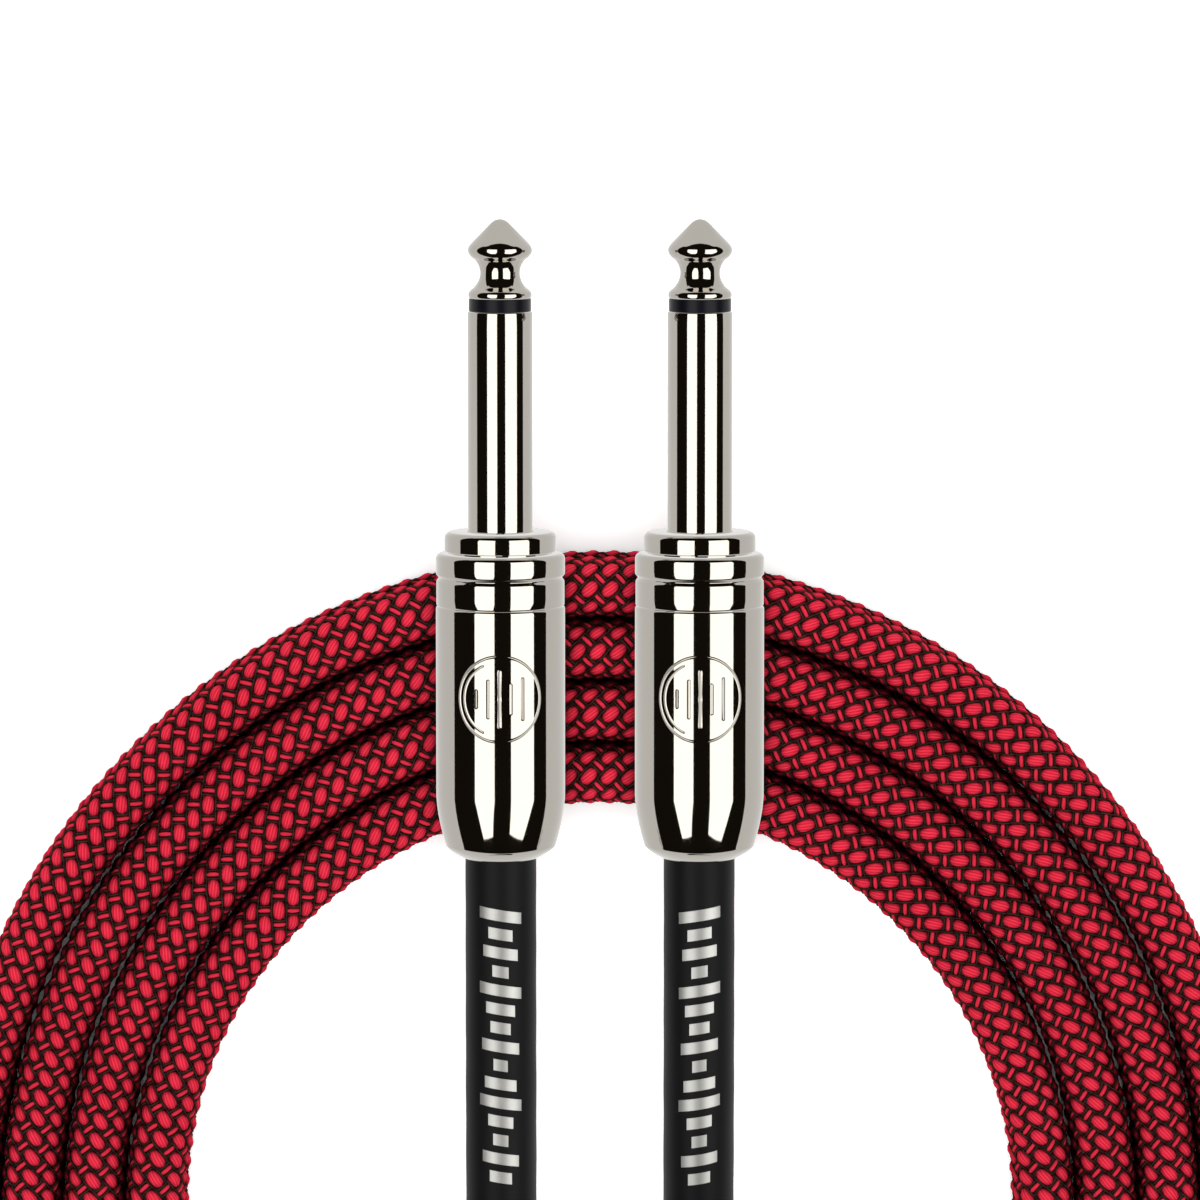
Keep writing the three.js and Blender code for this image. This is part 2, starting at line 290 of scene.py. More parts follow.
def outward(piece: bpy.types.Object) -> bpy.types.Object:
    """Turns every face of a closed piece to look out of it.

    Args:
        piece: A piece whose faces all look the same way, in or out.

    Returns:
        The same piece.
    """
    work = bmesh.new()
    work.from_mesh(piece.data)
    if work.calc_volume(signed=True) < 0:
        bmesh.ops.reverse_faces(work, faces=work.faces)
        work.to_mesh(piece.data)
    work.free()
    return piece


def arc(
    y: float, r: float, radius: float, start_deg: float, end_deg: float, steps: int = 8
) -> list[tuple[float, float]]:
    """Gives the points of a rounded corner in a lathe profile.

    Args:
        y: The centre's distance along.
        r: The centre's radius from the axis.
        radius: The corner's own radius.
        start_deg: First angle, from the forward direction towards the outside.
        end_deg: Last angle.
        steps: Number of short straight lines.

    Returns:
        Points of distance along and radius.
    """
    angles = np.radians(np.linspace(start_deg, end_deg, steps + 1))
    return [(y + radius * math.cos(a), r + radius * math.sin(a)) for a in angles]


def blended(points: Sequence[Sequence[float]], spacing: float) -> np.ndarray:
    """Draws a smooth curve through points and samples it evenly.

    Args:
        points: The points that it passes through.
        spacing: Distance between samples.

    Returns:
        The samples, one row each.
    """
    p = np.asarray(points, float)
    p = np.vstack([2 * p[0] - p[1], p, 2 * p[-1] - p[-2]])
    knots = np.concatenate([[0], np.cumsum(np.sqrt(np.linalg.norm(np.diff(p, axis=0), axis=1)))])
    pieces = []
    for i in range(1, len(p) - 2):
        t0, t1, t2, t3 = knots[i - 1 : i + 3]
        count = max(4, int(np.linalg.norm(p[i + 1] - p[i]) / spacing * 2))
        t = np.linspace(t1, t2, count, endpoint=False)[:, None]
        a1 = (t1 - t) / (t1 - t0) * p[i - 1] + (t - t0) / (t1 - t0) * p[i]
        a2 = (t2 - t) / (t2 - t1) * p[i] + (t - t1) / (t2 - t1) * p[i + 1]
        a3 = (t3 - t) / (t3 - t2) * p[i + 1] + (t - t2) / (t3 - t2) * p[i + 2]
        b1 = (t2 - t) / (t2 - t0) * a1 + (t - t0) / (t2 - t0) * a2
        b2 = (t3 - t) / (t3 - t1) * a2 + (t - t1) / (t3 - t1) * a3
        pieces.append((t2 - t) / (t2 - t1) * b1 + (t - t1) / (t2 - t1) * b2)
    line = np.vstack(pieces + [p[-2][None]])
    return evenly(line, spacing)


def evenly(line: np.ndarray, spacing: float) -> np.ndarray:
    """Samples a polyline at an even spacing.

    Args:
        line: The polyline's points, one row each.
        spacing: Distance between samples, rounded so that they fill the line.

    Returns:
        The samples, one row each.
    """
    run = travelled(line)
    at = np.linspace(0, run[-1], int(round(run[-1] / spacing)) + 1)
    return np.stack([np.interp(at, run, line[:, c]) for c in range(line.shape[1])], -1)


# ---------------------------------------------------------------- finishes


@dataclass(frozen=True)
class Finish:
    """What every finish shares: a name, and a base colour in sRGB hex."""

    name: str
    colour: str
    roughness: float

    def begin(self) -> tuple[bpy.types.Material, bpy.types.NodeTree, bpy.types.Node]:
        """Makes the material with its principled shader.

        Returns:
            The material, its tree and the shader.
        """
        material = bpy.data.materials.new(self.name)
        material.use_nodes = True
        tree = material.node_tree
        tree.nodes.clear()
        shader = add_node(
            tree, "ShaderNodeBsdfPrincipled", {"Base Color": linear(self.colour), "Roughness": self.roughness}
        )
        add_node(tree, "ShaderNodeOutputMaterial", links={"Surface": shader.outputs["BSDF"]})
        material.diffuse_color = linear(self.colour)
        return material, tree, shader


@dataclass(frozen=True)
class PlatedMetal(Finish):
    """Metal with a thin plated or rolled skin: near-mirror, with fine polishing lines and a breath of haze."""

    grain_mm: float = 0.6
    haze: float = 0.03
    ripple: float = 0.02
    ripple_depth_mm: float = 0.02
    brushed: float = 1.0
    mottle: float = 0.04

    def material(self) -> bpy.types.Material:
        """Builds the plated metal.

        Returns:
            The material.
        """
        made, tree, shader = self.begin()
        shader.inputs["Metallic"].default_value = 1.0
        place = add_node(tree, "ShaderNodeTexCoord")
        scaled = add_node(
            tree, "ShaderNodeMapping", {"Scale": (1.0, self.brushed, 1.0)}, {"Vector": place.outputs["Object"]}
        )
        grain = add_node(
            tree,
            "ShaderNodeTexNoise",
            {"Scale": 1 / (self.grain_mm * MM), "Detail": 4.0, "Roughness": 0.6},
            {"Vector": scaled.outputs["Vector"]},
        )
        rough = add_node(
            tree,
            "ShaderNodeMapRange",
            {"To Min": self.roughness - self.haze * 0.5, "To Max": self.roughness + self.haze},
            {"Value": grain.outputs["Fac"]},
        )
        tree.links.new(rough.outputs["Result"], shader.inputs["Roughness"])
        base = linear(self.colour)
        dim = tuple(c * (1 - self.mottle) for c in base[:3]) + (1.0,)
        tint = add_node(tree, "ShaderNodeMix", {"data_type": "RGBA", 6: dim, 7: base}, {0: grain.outputs["Fac"]})
        tree.links.new(tint.outputs[2], shader.inputs["Base Color"])
        bump = add_node(
            tree,
            "ShaderNodeBump",
            {"Strength": self.ripple, "Distance": self.ripple_depth_mm * MM},
            {"Height": grain.outputs["Fac"]},
        )
        tree.links.new(bump.outputs["Normal"], shader.inputs["Normal"])
        return made


@dataclass(frozen=True)
class MouldedPolymer(Finish):
    """Plastic or rubber from a mould or extruder: a soft satin with a faint skin texture."""

    grain_mm: float = 0.15
    depth_mm: float = 0.01
    strength: float = 0.25
    clear: float = 0.0
    gloss: float = 0.5
    patch_mm: float = 6.0
    patch_dim: float = 0.85
    patch_roughness: tuple[float, float] = (-0.05, 0.07)

    def material(self) -> bpy.types.Material:
        """Builds the polymer.

        Returns:
            The material.
        """
        made, tree, shader = self.begin()
        shader.inputs["IOR"].default_value = 1.5
        shader.inputs["Specular IOR Level"].default_value = self.gloss
        shader.inputs["Transmission Weight"].default_value = self.clear
        place = add_node(tree, "ShaderNodeTexCoord")
        grain = add_node(
            tree,
            "ShaderNodeTexNoise",
            {"Scale": 1 / (self.grain_mm * MM), "Detail": 3.0},
            {"Vector": place.outputs["Object"]},
        )
        broad = add_node(
            tree,
            "ShaderNodeTexNoise",
            {"Scale": 1 / (self.patch_mm * MM), "Detail": 2.0},
            {"Vector": place.outputs["Object"]},
        )
        smoothest, roughest = (self.roughness + change for change in self.patch_roughness)
        rough = add_node(
            tree, "ShaderNodeMapRange", {"To Min": smoothest, "To Max": roughest}, {"Value": broad.outputs["Fac"]}
        )
        tree.links.new(rough.outputs["Result"], shader.inputs["Roughness"])
        base = linear(self.colour)
        dim = tuple(self.patch_dim * c for c in base[:3]) + (1.0,)
        tint = add_node(tree, "ShaderNodeMix", {"data_type": "RGBA", 6: dim, 7: base}, {0: broad.outputs["Fac"]})
        tree.links.new(tint.outputs[2], shader.inputs["Base Color"])
        bump = add_node(
            tree,
            "ShaderNodeBump",
            {"Strength": self.strength, "Distance": self.depth_mm * MM},
            {"Height": grain.outputs["Fac"]},
        )
        tree.links.new(bump.outputs["Normal"], shader.inputs["Normal"])
        return made


@dataclass(frozen=True)
class TwistedYarn(Finish):
    """Filament yarn laid flat in a braid: matt, with streaks of filament bundles that run along it.

    The bundles show as streaks; single filaments, about 0.02 mm, are too fine to see and are drawn as their bundles.
    """

    dark: str = "#000000"
    # near-black colour of the painted shade, where the yarn dives and where turns lie close
    painted_shade_colour: str = "#050101"
    ends_across: float = 4.0
    sheen: float = 0.1
    gloss: float = 0.0
    depth_mm: float = 0.05
    lean_per_mm: float = 0.11
    streak_share: float = 0.28
    fibre_per_mm: float = 1.3
    fibres_round: float = 60.0
    dye_patch_mm: float = 9.0
    dye_share: float = 0.35
    # the painted shade: how far ambient occlusion reaches and its ramp, the crown range, and how much colour is left
    # where the yarn sinks lowest
    shade_nook_mm: float = 4.0
    shade_nook_ramp: tuple[float, float] = (0.38, 0.95)
    crown_range: tuple[float, float] = (0.16, 1.0)
    sunk_unshaded_share: float = 0.1

    def material(self) -> bpy.types.Material:
        """Builds the yarn from its own coordinates, along in millimetres and round from nought to one.

        Returns:
            The material.
        """
        made, tree, shader = self.begin()
        shader.inputs["IOR"].default_value = 1.55
        shader.inputs["Specular IOR Level"].default_value = self.gloss
        shader.inputs["Sheen Weight"].default_value = self.sheen
        shader.inputs["Sheen Roughness"].default_value = 0.4
        shader.inputs["Sheen Tint"].default_value = linear(self.colour)
        place = add_node(tree, "ShaderNodeUVMap", {"uv_map": "surface"})
        split = add_node(tree, "ShaderNodeSeparateXYZ", links={"Vector": place.outputs["UV"]})
        # filament bundles, a fifth of a millimetre each, lean a little along the yarn
        lean = add_node(
            tree, "ShaderNodeMath", {"operation": "MULTIPLY", 1: self.lean_per_mm}, {0: split.outputs["X"]}
        )
        across = add_node(
            tree, "ShaderNodeMath", {"operation": "ADD"}, {0: split.outputs["Y"], 1: lean.outputs[0]}
        )
        # half of the way round faces out, so the count across the face is doubled
        waves = self.ends_across * 2 * FULL_TURN
        turns = add_node(tree, "ShaderNodeMath", {"operation": "MULTIPLY", 1: waves}, {0: across.outputs[0]})
        wave = add_node(tree, "ShaderNodeMath", {"operation": "COSINE"}, {0: turns.outputs[0]})
        fibre_scale = (self.fibre_per_mm, self.fibres_round, 1.0)
        stretched = add_node(tree, "ShaderNodeMapping", {"Scale": fibre_scale}, {"Vector": place.outputs["UV"]})
        fibre = add_node(
            tree, "ShaderNodeTexNoise", {"Scale": 1.0, "Detail": 2.0}, {"Vector": stretched.outputs["Vector"]}
        )
        height = add_node(
            tree,
            "ShaderNodeMath",
            {"operation": "MULTIPLY_ADD", 1: self.streak_share},
            {0: wave.outputs[0], 2: fibre.outputs["Fac"]},
        )
        place_3d = add_node(tree, "ShaderNodeTexCoord")
        dye = add_node(
            tree,
            "ShaderNodeTexNoise",
            {"Scale": 1 / (self.dye_patch_mm * MM), "Detail": 3.0},
            {"Vector": place_3d.outputs["Object"]},
        )
        amount = add_node(
            tree,
            "ShaderNodeMath",
            {"operation": "MULTIPLY_ADD", 1: self.dye_share, "use_clamp": True},
            {0: dye.outputs["Fac"], 2: height.outputs[0]},
        )
        shade = add_node(
            tree,
            "ShaderNodeMix",
            {"data_type": "RGBA", 6: linear(self.dark), 7: linear(self.colour)},
            {0: amount.outputs[0]},
        )
        # painted shade: the colour goes near black where the crown attribute says the yarn dives under its neighbours,
        # and where ambient occlusion finds turns of the cable close
        stands_out = add_node(tree, "ShaderNodeAttribute", {"attribute_name": "crown"})
        shade_occlusion = add_node(tree, "ShaderNodeAmbientOcclusion", {"samples": 4, "Distance": self.shade_nook_mm * MM})
        low, high = self.crown_range
        crown_shade = add_node(
            tree,
            "ShaderNodeMapRange",
            {"interpolation_type": "SMOOTHSTEP", 1: low, 2: high, 3: self.sunk_unshaded_share, 4: 1.0},
            {0: stands_out.outputs["Fac"]},
        )
        shut, clear = self.shade_nook_ramp
        occlusion_shade = add_node(
            tree,
            "ShaderNodeMapRange",
            {"interpolation_type": "SMOOTHSTEP", 1: shut, 2: clear, 3: 0.0, 4: 1.0},
            {0: shade_occlusion.outputs["AO"]},
        )
        lit = add_node(
            tree, "ShaderNodeMath", {"operation": "MULTIPLY"}, {0: crown_shade.outputs[0], 1: occlusion_shade.outputs[0]}
        )
        final = add_node(
            tree,
            "ShaderNodeMix",
            {"data_type": "RGBA", 6: linear(self.painted_shade_colour)},
            {0: lit.outputs[0], 7: shade.outputs[2]},
        )
        tree.links.new(final.outputs[2], shader.inputs["Base Color"])
        bump = add_node(
            tree,
            "ShaderNodeBump",
            {"Strength": 0.6, "Distance": self.depth_mm * MM},
            {"Height": height.outputs[0]},
        )
        tree.links.new(bump.outputs["Normal"], shader.inputs["Normal"])
        return made


@dataclass(frozen=True)
class PiledWeb(Finish):
    """Nylon hook-and-loop web: a dense fuzz of loops that takes light softly."""

    loop_mm: float = 0.45
    loop_share: float = 0.7
    pile_depth_mm: float = 0.18
    root_dim: float = 0.4
    sheen: float = 0.35

    def material(self) -> bpy.types.Material:
        """Builds the pile.

        Returns:
            The material.
        """
        made, tree, shader = self.begin()
        shader.inputs["Sheen Weight"].default_value = self.sheen
        shader.inputs["Sheen Roughness"].default_value = 0.5
        place = add_node(tree, "ShaderNodeTexCoord")
        loops = add_node(
            tree, "ShaderNodeTexVoronoi", {"Scale": 1 / (self.loop_mm * MM)}, {"Vector": place.outputs["Object"]}
        )
        fuzz = add_node(
            tree,
            "ShaderNodeTexNoise",
            {"Scale": 3 / (self.loop_mm * MM), "Detail": 5.0},
            {"Vector": place.outputs["Object"]},
        )
        mixed = add_node(
            tree,
            "ShaderNodeMath",
            {"operation": "MULTIPLY_ADD", 1: self.loop_share},
            {0: loops.outputs["Distance"], 2: fuzz.outputs["Fac"]},
        )
        base = linear(self.colour)
        dim = tuple(self.root_dim * c for c in base[:3]) + (1.0,)
        tint = add_node(tree, "ShaderNodeMix", {"data_type": "RGBA", 6: dim, 7: base}, {0: fuzz.outputs["Fac"]})
        tree.links.new(tint.outputs[2], shader.inputs["Base Color"])
        bump = add_node(
            tree,
            "ShaderNodeBump",
            {"Strength": 0.9, "Distance": self.pile_depth_mm * MM},
            {"Height": mixed.outputs[0]},
        )
        tree.links.new(bump.outputs["Normal"], shader.inputs["Normal"])
        return made


class Finishes:
    """Every finish on the cable, made once."""

    def __init__(self) -> None:
        """Makes the materials."""
        # polished brass under bright nickel, barrel-plated: mirror-like and slightly warm
        self.nickel = PlatedMetal(
            "bright_nickel_plate", "#B4B0A8", 0.045, grain_mm=1.4, haze=0.02, ripple=0.015
        ).material()
        # lathe-turned nickel on the tip's rod: the same plate over finer tool lines, so it looks satin
        self.turned_nickel = PlatedMetal(
            "turned_nickel_rod", "#B5B1AA", 0.16, grain_mm=0.2, haze=0.05, ripple=0.1
        ).material()
        # tin-dipped copper strands: dull silver
        self.tinned = PlatedMetal(
            "tinned_copper_braid", "#B9BABC", 0.34, grain_mm=0.12, haze=0.1, ripple=0.5
        ).material()
        # solder, cooled in air: smooth grey with a soft frost
        self.solder = PlatedMetal(
            "tin_solder_set", "#A9ABAE", 0.28, grain_mm=0.5, haze=0.12, ripple=0.2
        ).material()
        # stamped brass lug: rolled sheet with a faint straight grain
        self.brass = PlatedMetal(
            "rolled_brass_lug", "#C9A24B", 0.24, grain_mm=0.15, haze=0.08, ripple=0.15, brushed=0.15
        ).material()
        # drawn copper strand: warm and satin
        self.copper = PlatedMetal(
            "drawn_copper_strand", "#B87345", 0.25, grain_mm=0.1, haze=0.08, ripple=0.3
        ).material()
        # moulded black acetal ring between the contacts: even satin
        self.black_ring = MouldedPolymer("moulded_black_acetal", "#0A0A12", 0.3, gloss=0.15).material()
        # pressed paper-phenolic board: brown, matt and fibrous
        self.fibre = MouldedPolymer(
            "pressed_phenolic_board", "#5A3A22", 0.55, grain_mm=0.3, depth_mm=0.03, strength=0.5
        ).material()
        # extruded clear liner: thin polypropylene with a slight milkiness
        self.clear = MouldedPolymer("extruded_clear_polypropylene", "#E8ECEC", 0.18, clear=0.85).material()
        # extruded polyethylene round the core: milky white
        self.core_plastic = MouldedPolymer("extruded_polyethylene_core", "#DDD8CC", 0.38).material()
        # carbon-loaded noise screen: dull black
        self.screen = MouldedPolymer("carbon_loaded_screen", "#17171A", 0.6, grain_mm=0.2, strength=0.4).material()
        # polyolefin sleeve shrunk with hot air: satin black with a faint orange-peel skin
        self.shrink = MouldedPolymer(
            "shrunk_polyolefin_sleeve", "#050506", 0.5, grain_mm=0.9, depth_mm=0.03, strength=0.16, gloss=0.17
        ).material()
        # hot-stamped silver foil: brushed-looking satin silver
        self.foil = PlatedMetal(
            "hot_stamped_silver_foil", "#BDBDBB", 0.42, grain_mm=0.35, haze=0.08, ripple=0.08, brushed=0.1, mottle=0.12
        ).material()
        # dyed polyester multifilament: bright red with streaks along it, painted shade makes it nearly black where it
        # dives and where turns lie close
        self.red_yarn = TwistedYarn(
            "dyed_red_polyester_yarn", "#F23A52", 0.5, dark="#AE061A", painted_shade_colour="#1A0306", sheen=0.03
        ).material()
        # spun black polyester ends: thin and matt, brownish beside the red, with the same painted shade where they dive
        self.black_yarn = TwistedYarn(
            "spun_black_polyester_yarn", "#503830", 0.42, dark="#180A08", painted_shade_colour="#0A0202", ends_across=1.0, sheen=0.0
        ).material()
        # extruded rubbery jacket under the braid: black and matt
        self.jacket = MouldedPolymer("extruded_black_jacket", "#070606", 0.6, grain_mm=0.4).material()
        # woven nylon loop strap: black, with a soft fuzz
        self.strap = PiledWeb("woven_nylon_loop_strap", "#161618", 0.85).material()


# ---------------------------------------------------------------- cable


@dataclass
class Route:
    """The cable's line: left tail, four turns out on the upper layer, four in on the lower, right tail."""

    turn_radii: tuple[float, ...] = (44.85, 51.1, 57.35, 63.6)
    upper_z: float = 9.3
    lower_z: float = 3.1
    first_deg: float = -40.2
    last_deg: float = 2740.2
    step_deg: float = 5.0
    tie_deg: float = 270.0
    shift_from_deg: float = 230.0
    shift_to_deg: float = 310.0
    drop_bulge: float = 2.5
    tie_lift: float = 1.15
    tie_half_deg: float = 18.0
    tie_steepness: float = 1.6
    spacing: float = 0.5
    relax_samples: int = 8
    left_tail: tuple[tuple[float, float, float], ...] = (
        (-9.8, 50.9, 18.95),
        (-9.8, 37.4, 18.95),
        (-9.8, 24.4, 18.95),
        (-9.8, 12.4, 18.8),
        (-9.8, 2.4, 18.4),
        (-9.8, -12.8, 17.6),
        (-8.3, -21.4, 16.8),
        (-4, -28.9, 15.9),
        (2.7, -34.5, 14.6),
        (8.7, -37, 13.4),
        (15.2, -37.8, 12.2),
        (21.7, -37.0, 10.9),
        (29.5, -33.3, 9.7),
    )
    right_tail: tuple[tuple[float, float, float], ...] = (
        (-29.5, -33.3, 3.2),
        (-21.7, -37.0, 3.8),
        (-15.2, -37.8, 4.6),
        (-8.7, -37, 5.6),
        (-2.7, -34.5, 7.1),
        (4, -28.9, 9.4),
        (8.3, -21.4, 11.9),
        (9.8, -12.8, 14.5),
        (9.8, 2.4, 17.3),
        (9.8, 12.4, 18.5),
        (9.8, 24.4, 18.95),
        (9.8, 37.4, 18.95),
        (9.8, 50.9, 18.95),
    )
    points: np.ndarray = field(init=False)
    run: np.ndarray = field(init=False)
    tangent: np.ndarray = field(init=False)
    top: np.ndarray = field(init=False)
    side: np.ndarray = field(init=False)

    def __post_init__(self) -> None:
        """Lays the route and works out a frame at each sample."""
        raw = np.array([*self.left_tail, *self.turns(), *self.right_tail])
        raw[:, 1] += COIL_CENTRE_Y
        line = self.relaxed(blended(raw, self.spacing))
        self.points = evenly(line, self.spacing)
        self.run = travelled(self.points)
        self.tangent = unit(np.gradient(self.points, axis=0))
        self.top = unit(UP - (self.tangent @ UP)[:, None] * self.tangent)
        self.side = np.cross(self.tangent, self.top)

    def turns(self) -> list[tuple[float, float, float]]:
        """Lays the turns, stepping to the next radius only on the side where the tie sits.

        Returns:
            Points about the coil's centre, in millimetres.
        """
        radii = [*self.turn_radii, *reversed(self.turn_radii)]
        levels = [self.upper_z] * len(self.turn_radii) + [self.lower_z] * len(self.turn_radii)
        made = []
        width = self.shift_to_deg - self.shift_from_deg
        for degrees in np.arange(self.first_deg, self.last_deg + 0.01, self.step_deg):
            index = int(math.floor((degrees - (self.shift_to_deg - 360)) / 360))
            within = degrees - (self.shift_from_deg + 360 * index)
            mix = float(smooth_step(np.array(within / width)))
            nxt = min(index + 1, len(radii) - 1)
            radius = radii[index] + (radii[nxt] - radii[index]) * mix
            level = levels[index] + (levels[nxt] - levels[index]) * mix
            if levels[nxt] != levels[index]:
                radius += self.drop_bulge * math.sin(math.pi * mix)
            from_tie = abs((degrees - self.tie_deg + 180) % 360 - 180)
            nearness = np.array(self.tie_steepness * (1 - from_tie / self.tie_half_deg))
            level += self.tie_lift * float(smooth_step(nearness))
            a = math.radians(degrees)
            made.append((radius * math.cos(a), radius * math.sin(a), level))
        return made

    def relaxed(self, line: np.ndarray) -> np.ndarray:
        """Takes small kinks out of the line with a short running mean, its ends held.

        Args:
            line: Points of the line, one row each.

        Returns:
            As many points, the first and last where they were.
        """
        half = self.relax_samples
        weight = np.hanning(2 * half + 3)[1:-1]
        weight /= weight.sum()
        ends = np.vstack([2 * line[0] - line[half:0:-1], line, 2 * line[-1] - line[-2 : -half - 2 : -1]])
        return np.stack([np.convolve(ends[:, c], weight, "valid") for c in range(3)], -1)

    @property
    def length(self) -> float:
        """The whole length in millimetres."""
        return float(self.run[-1])

    def at(self, distance: np.ndarray) -> tuple[np.ndarray, np.ndarray, np.ndarray, np.ndarray]:
        """Gives the centre, upward and sideways vectors and tangent at distances along.

        Args:
            distance: Millimetres from the left end.

        Returns:
            Centre, top, side and tangent, each with three numbers for every distance.
        """

        def pick(rows: np.ndarray) -> np.ndarray:
            """Reads off a row of numbers at each distance."""
            return np.stack([np.interp(distance, self.run, rows[:, c]) for c in range(3)], -1)

        return pick(self.points), unit(pick(self.top)), unit(pick(self.side)), unit(pick(self.tangent))


class Slant(Enum):
    """Which way a carrier winds round the cable."""

    BROAD = -1
    FINE = 1


Section = tuple[tuple[float, float], ...]
BROAD_SECTION: Section = ((-0.58, -0.16), (-0.43, 0.09), (0.0, 0.26), (0.43, 0.09), (0.58, -0.16))


@dataclass(frozen=True)
class YarnEnd:
    """One yarn of a carrier: its place from the carrier's middle, its section, and how it swells where it is on top."""

    slant: Slant
    offset: float
    section: Section
    plain_section: Section
    samples_per_cycle: int
    swell: float = 0.0

    def outline(self, plain: bool) -> Section:
        """Picks the section, coarser in the lower layer."""
        return self.plain_section if plain else self.section

    def samples(self, plain: bool) -> int:
        """Gives the samples along one over and under, fewer in the lower layer."""
        return max(4, self.samples_per_cycle - (2 if plain else 0))


@dataclass
class BraidedCable:
    """Sixteen-carrier diamond braid over a black jacket, over and under by turns.

    Eight carriers wind each way. One way each lays a broad red yarn between two thin black ones, the other way a fine
    red yarn between two. Where a yarn dives it lies at the jacket, and where it rises it stands crimp above braid_r.
    """

    route: Route
    finishes: Finishes
    jacket_r: float = 2.48
    braid_r: float = 2.62
    crimp: float = 0.2
    lay: float = 16.3
    carriers: int = 8
    sleeve_cover: float = 50.0
    upper_share: float = 0.525
    jacket_faces: int = 14
    most_quads: int = 96000
    broad_red: YarnEnd = YarnEnd(Slant.BROAD, 0.0, BROAD_SECTION, BROAD_SECTION, 8, 0.14)
    fine_red: YarnEnd = YarnEnd(
        Slant.FINE,
        0.0,
        ((-0.23, -0.08), (-0.11, 0.11), (0.11, 0.11), (0.23, -0.08)),
        ((-0.23, -0.08), (0.0, 0.13), (0.23, -0.08)),
        6,
        0.1,
    )
    black_section: Section = ((-0.14, 0.0), (0.0, 0.13), (0.14, 0.0), (0.0, -0.12))
    black_plain: Section = ((-0.14, -0.06), (0.0, 0.13), (0.14, -0.06))
    black_samples: int = 5
    black_swell: float = -0.2
    broad_gap: float = 0.73
    fine_gap: float = 0.4
    float_flatness: float = 1.5

    def strands(
        self, end: YarnEnd, start: float, stop: float, plain: bool
    ) -> tuple[np.ndarray, np.ndarray, list[list[int]], np.ndarray, np.ndarray]:
        """Lays one yarn of every carrier that winds its way.

        Args:
            end: The yarn.
            start: First distance along the cable in millimetres.
            stop: Last distance.
            plain: Whether the lower layer's coarser section serves.

        Returns:
            Vertices, quads, caps, corner coordinates and how far each vertex stands out.
        """
        cycle = self.lay / self.carriers
        count = max(3, int(round((stop - start) / cycle * end.samples(plain))) + 1)
        s = np.linspace(start, stop, count)
        centre, top, side, _ = self.route.at(s)
        pitch_angle = math.atan2(2 * math.pi * self.braid_r, self.lay)
        shift = end.offset / (self.braid_r * math.cos(pitch_angle))
        first = np.arange(self.carriers) * 2 * math.pi / self.carriers
        angle = first[:, None] + shift + end.slant.value * 2 * math.pi * s[None] / self.lay
        wave = np.cos(self.carriers * (angle - shift / 2)) * -end.slant.value
        over = np.tanh(self.float_flatness * wave) / math.tanh(self.float_flatness)
        radius = self.braid_r + self.crimp * over
        out = np.cos(angle)[..., None] * top[None] + np.sin(angle)[..., None] * side[None]
        middle = centre[None] + radius[..., None] * out
        run = unit(np.gradient(middle, axis=1))
        out = unit(out - np.sum(out * run, -1, keepdims=True) * run)
        across = np.cross(run, out) * (1 + end.swell * over)[..., None]
        section = np.array(end.outline(plain))[::-1]
        low, high = section[:, 1].min(), section[:, 1].max()
        # crown mixes the rise over the crossings with the height on the section; the yarn finish paints shade with it
        # where the yarn sinks
        crown = 0.5 * (0.5 + 0.5 * over)[..., None] + 0.5 * ((section[:, 1] - low) / (high - low))[None, None]
        return (*sweep(middle, across, out, section), crown.ravel())

    def ends(self, red: bool) -> list[YarnEnd]:
        """Lists the yarns of one colour.

        Args:
            red: Whether the red ones are wanted, or the black ones.

        Returns:
            The yarns that one carrier each way lays.
        """
        if red:
            return [self.broad_red, self.fine_red]
        thin = (self.black_section, self.black_plain, self.black_samples, self.black_swell)
        return [
            YarnEnd(slant, sign * gap, *thin)
            for slant, gap in ((Slant.BROAD, self.broad_gap), (Slant.FINE, self.fine_gap))
            for sign in (-1, 1)
        ]

    def braid_piece(self, name: str, red: bool, start: float, stop: float, plain: bool) -> bpy.types.Object:
        """Joins the yarns of one colour over one stretch into a piece.

        Args:
            name: The piece's name.
            red: Whether it holds the red yarns, or the black ones.
            start: First distance along the cable in millimetres.
            stop: Last distance.
            plain: Whether the lower layer's coarser sections serve.

        Returns:
            The piece, dressed.
        """
        verts, quads, caps, corners, crowns, base = [], [], [], [], [], 0
        for end in self.ends(red):
            v, q, c, uv, crown = self.strands(end, start, stop, plain)
            verts.append(v)
            quads.append(q + base)
            caps.extend([[i + base for i in cap] for cap in c])
            corners.append(uv)
            crowns.append(crown)
            base += len(v)
        piece = make_piece(
            name, np.vstack(verts), np.vstack(quads), caps, np.concatenate(corners), 75, np.concatenate(crowns)
        )
        piece.data.materials.append(self.finishes.red_yarn if red else self.finishes.black_yarn)
        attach(piece, ROOT_BODY)
        unseen(piece, "glossy")
        LOG.info("%s: %d quads", name, sum(len(q) for q in quads))
        return piece

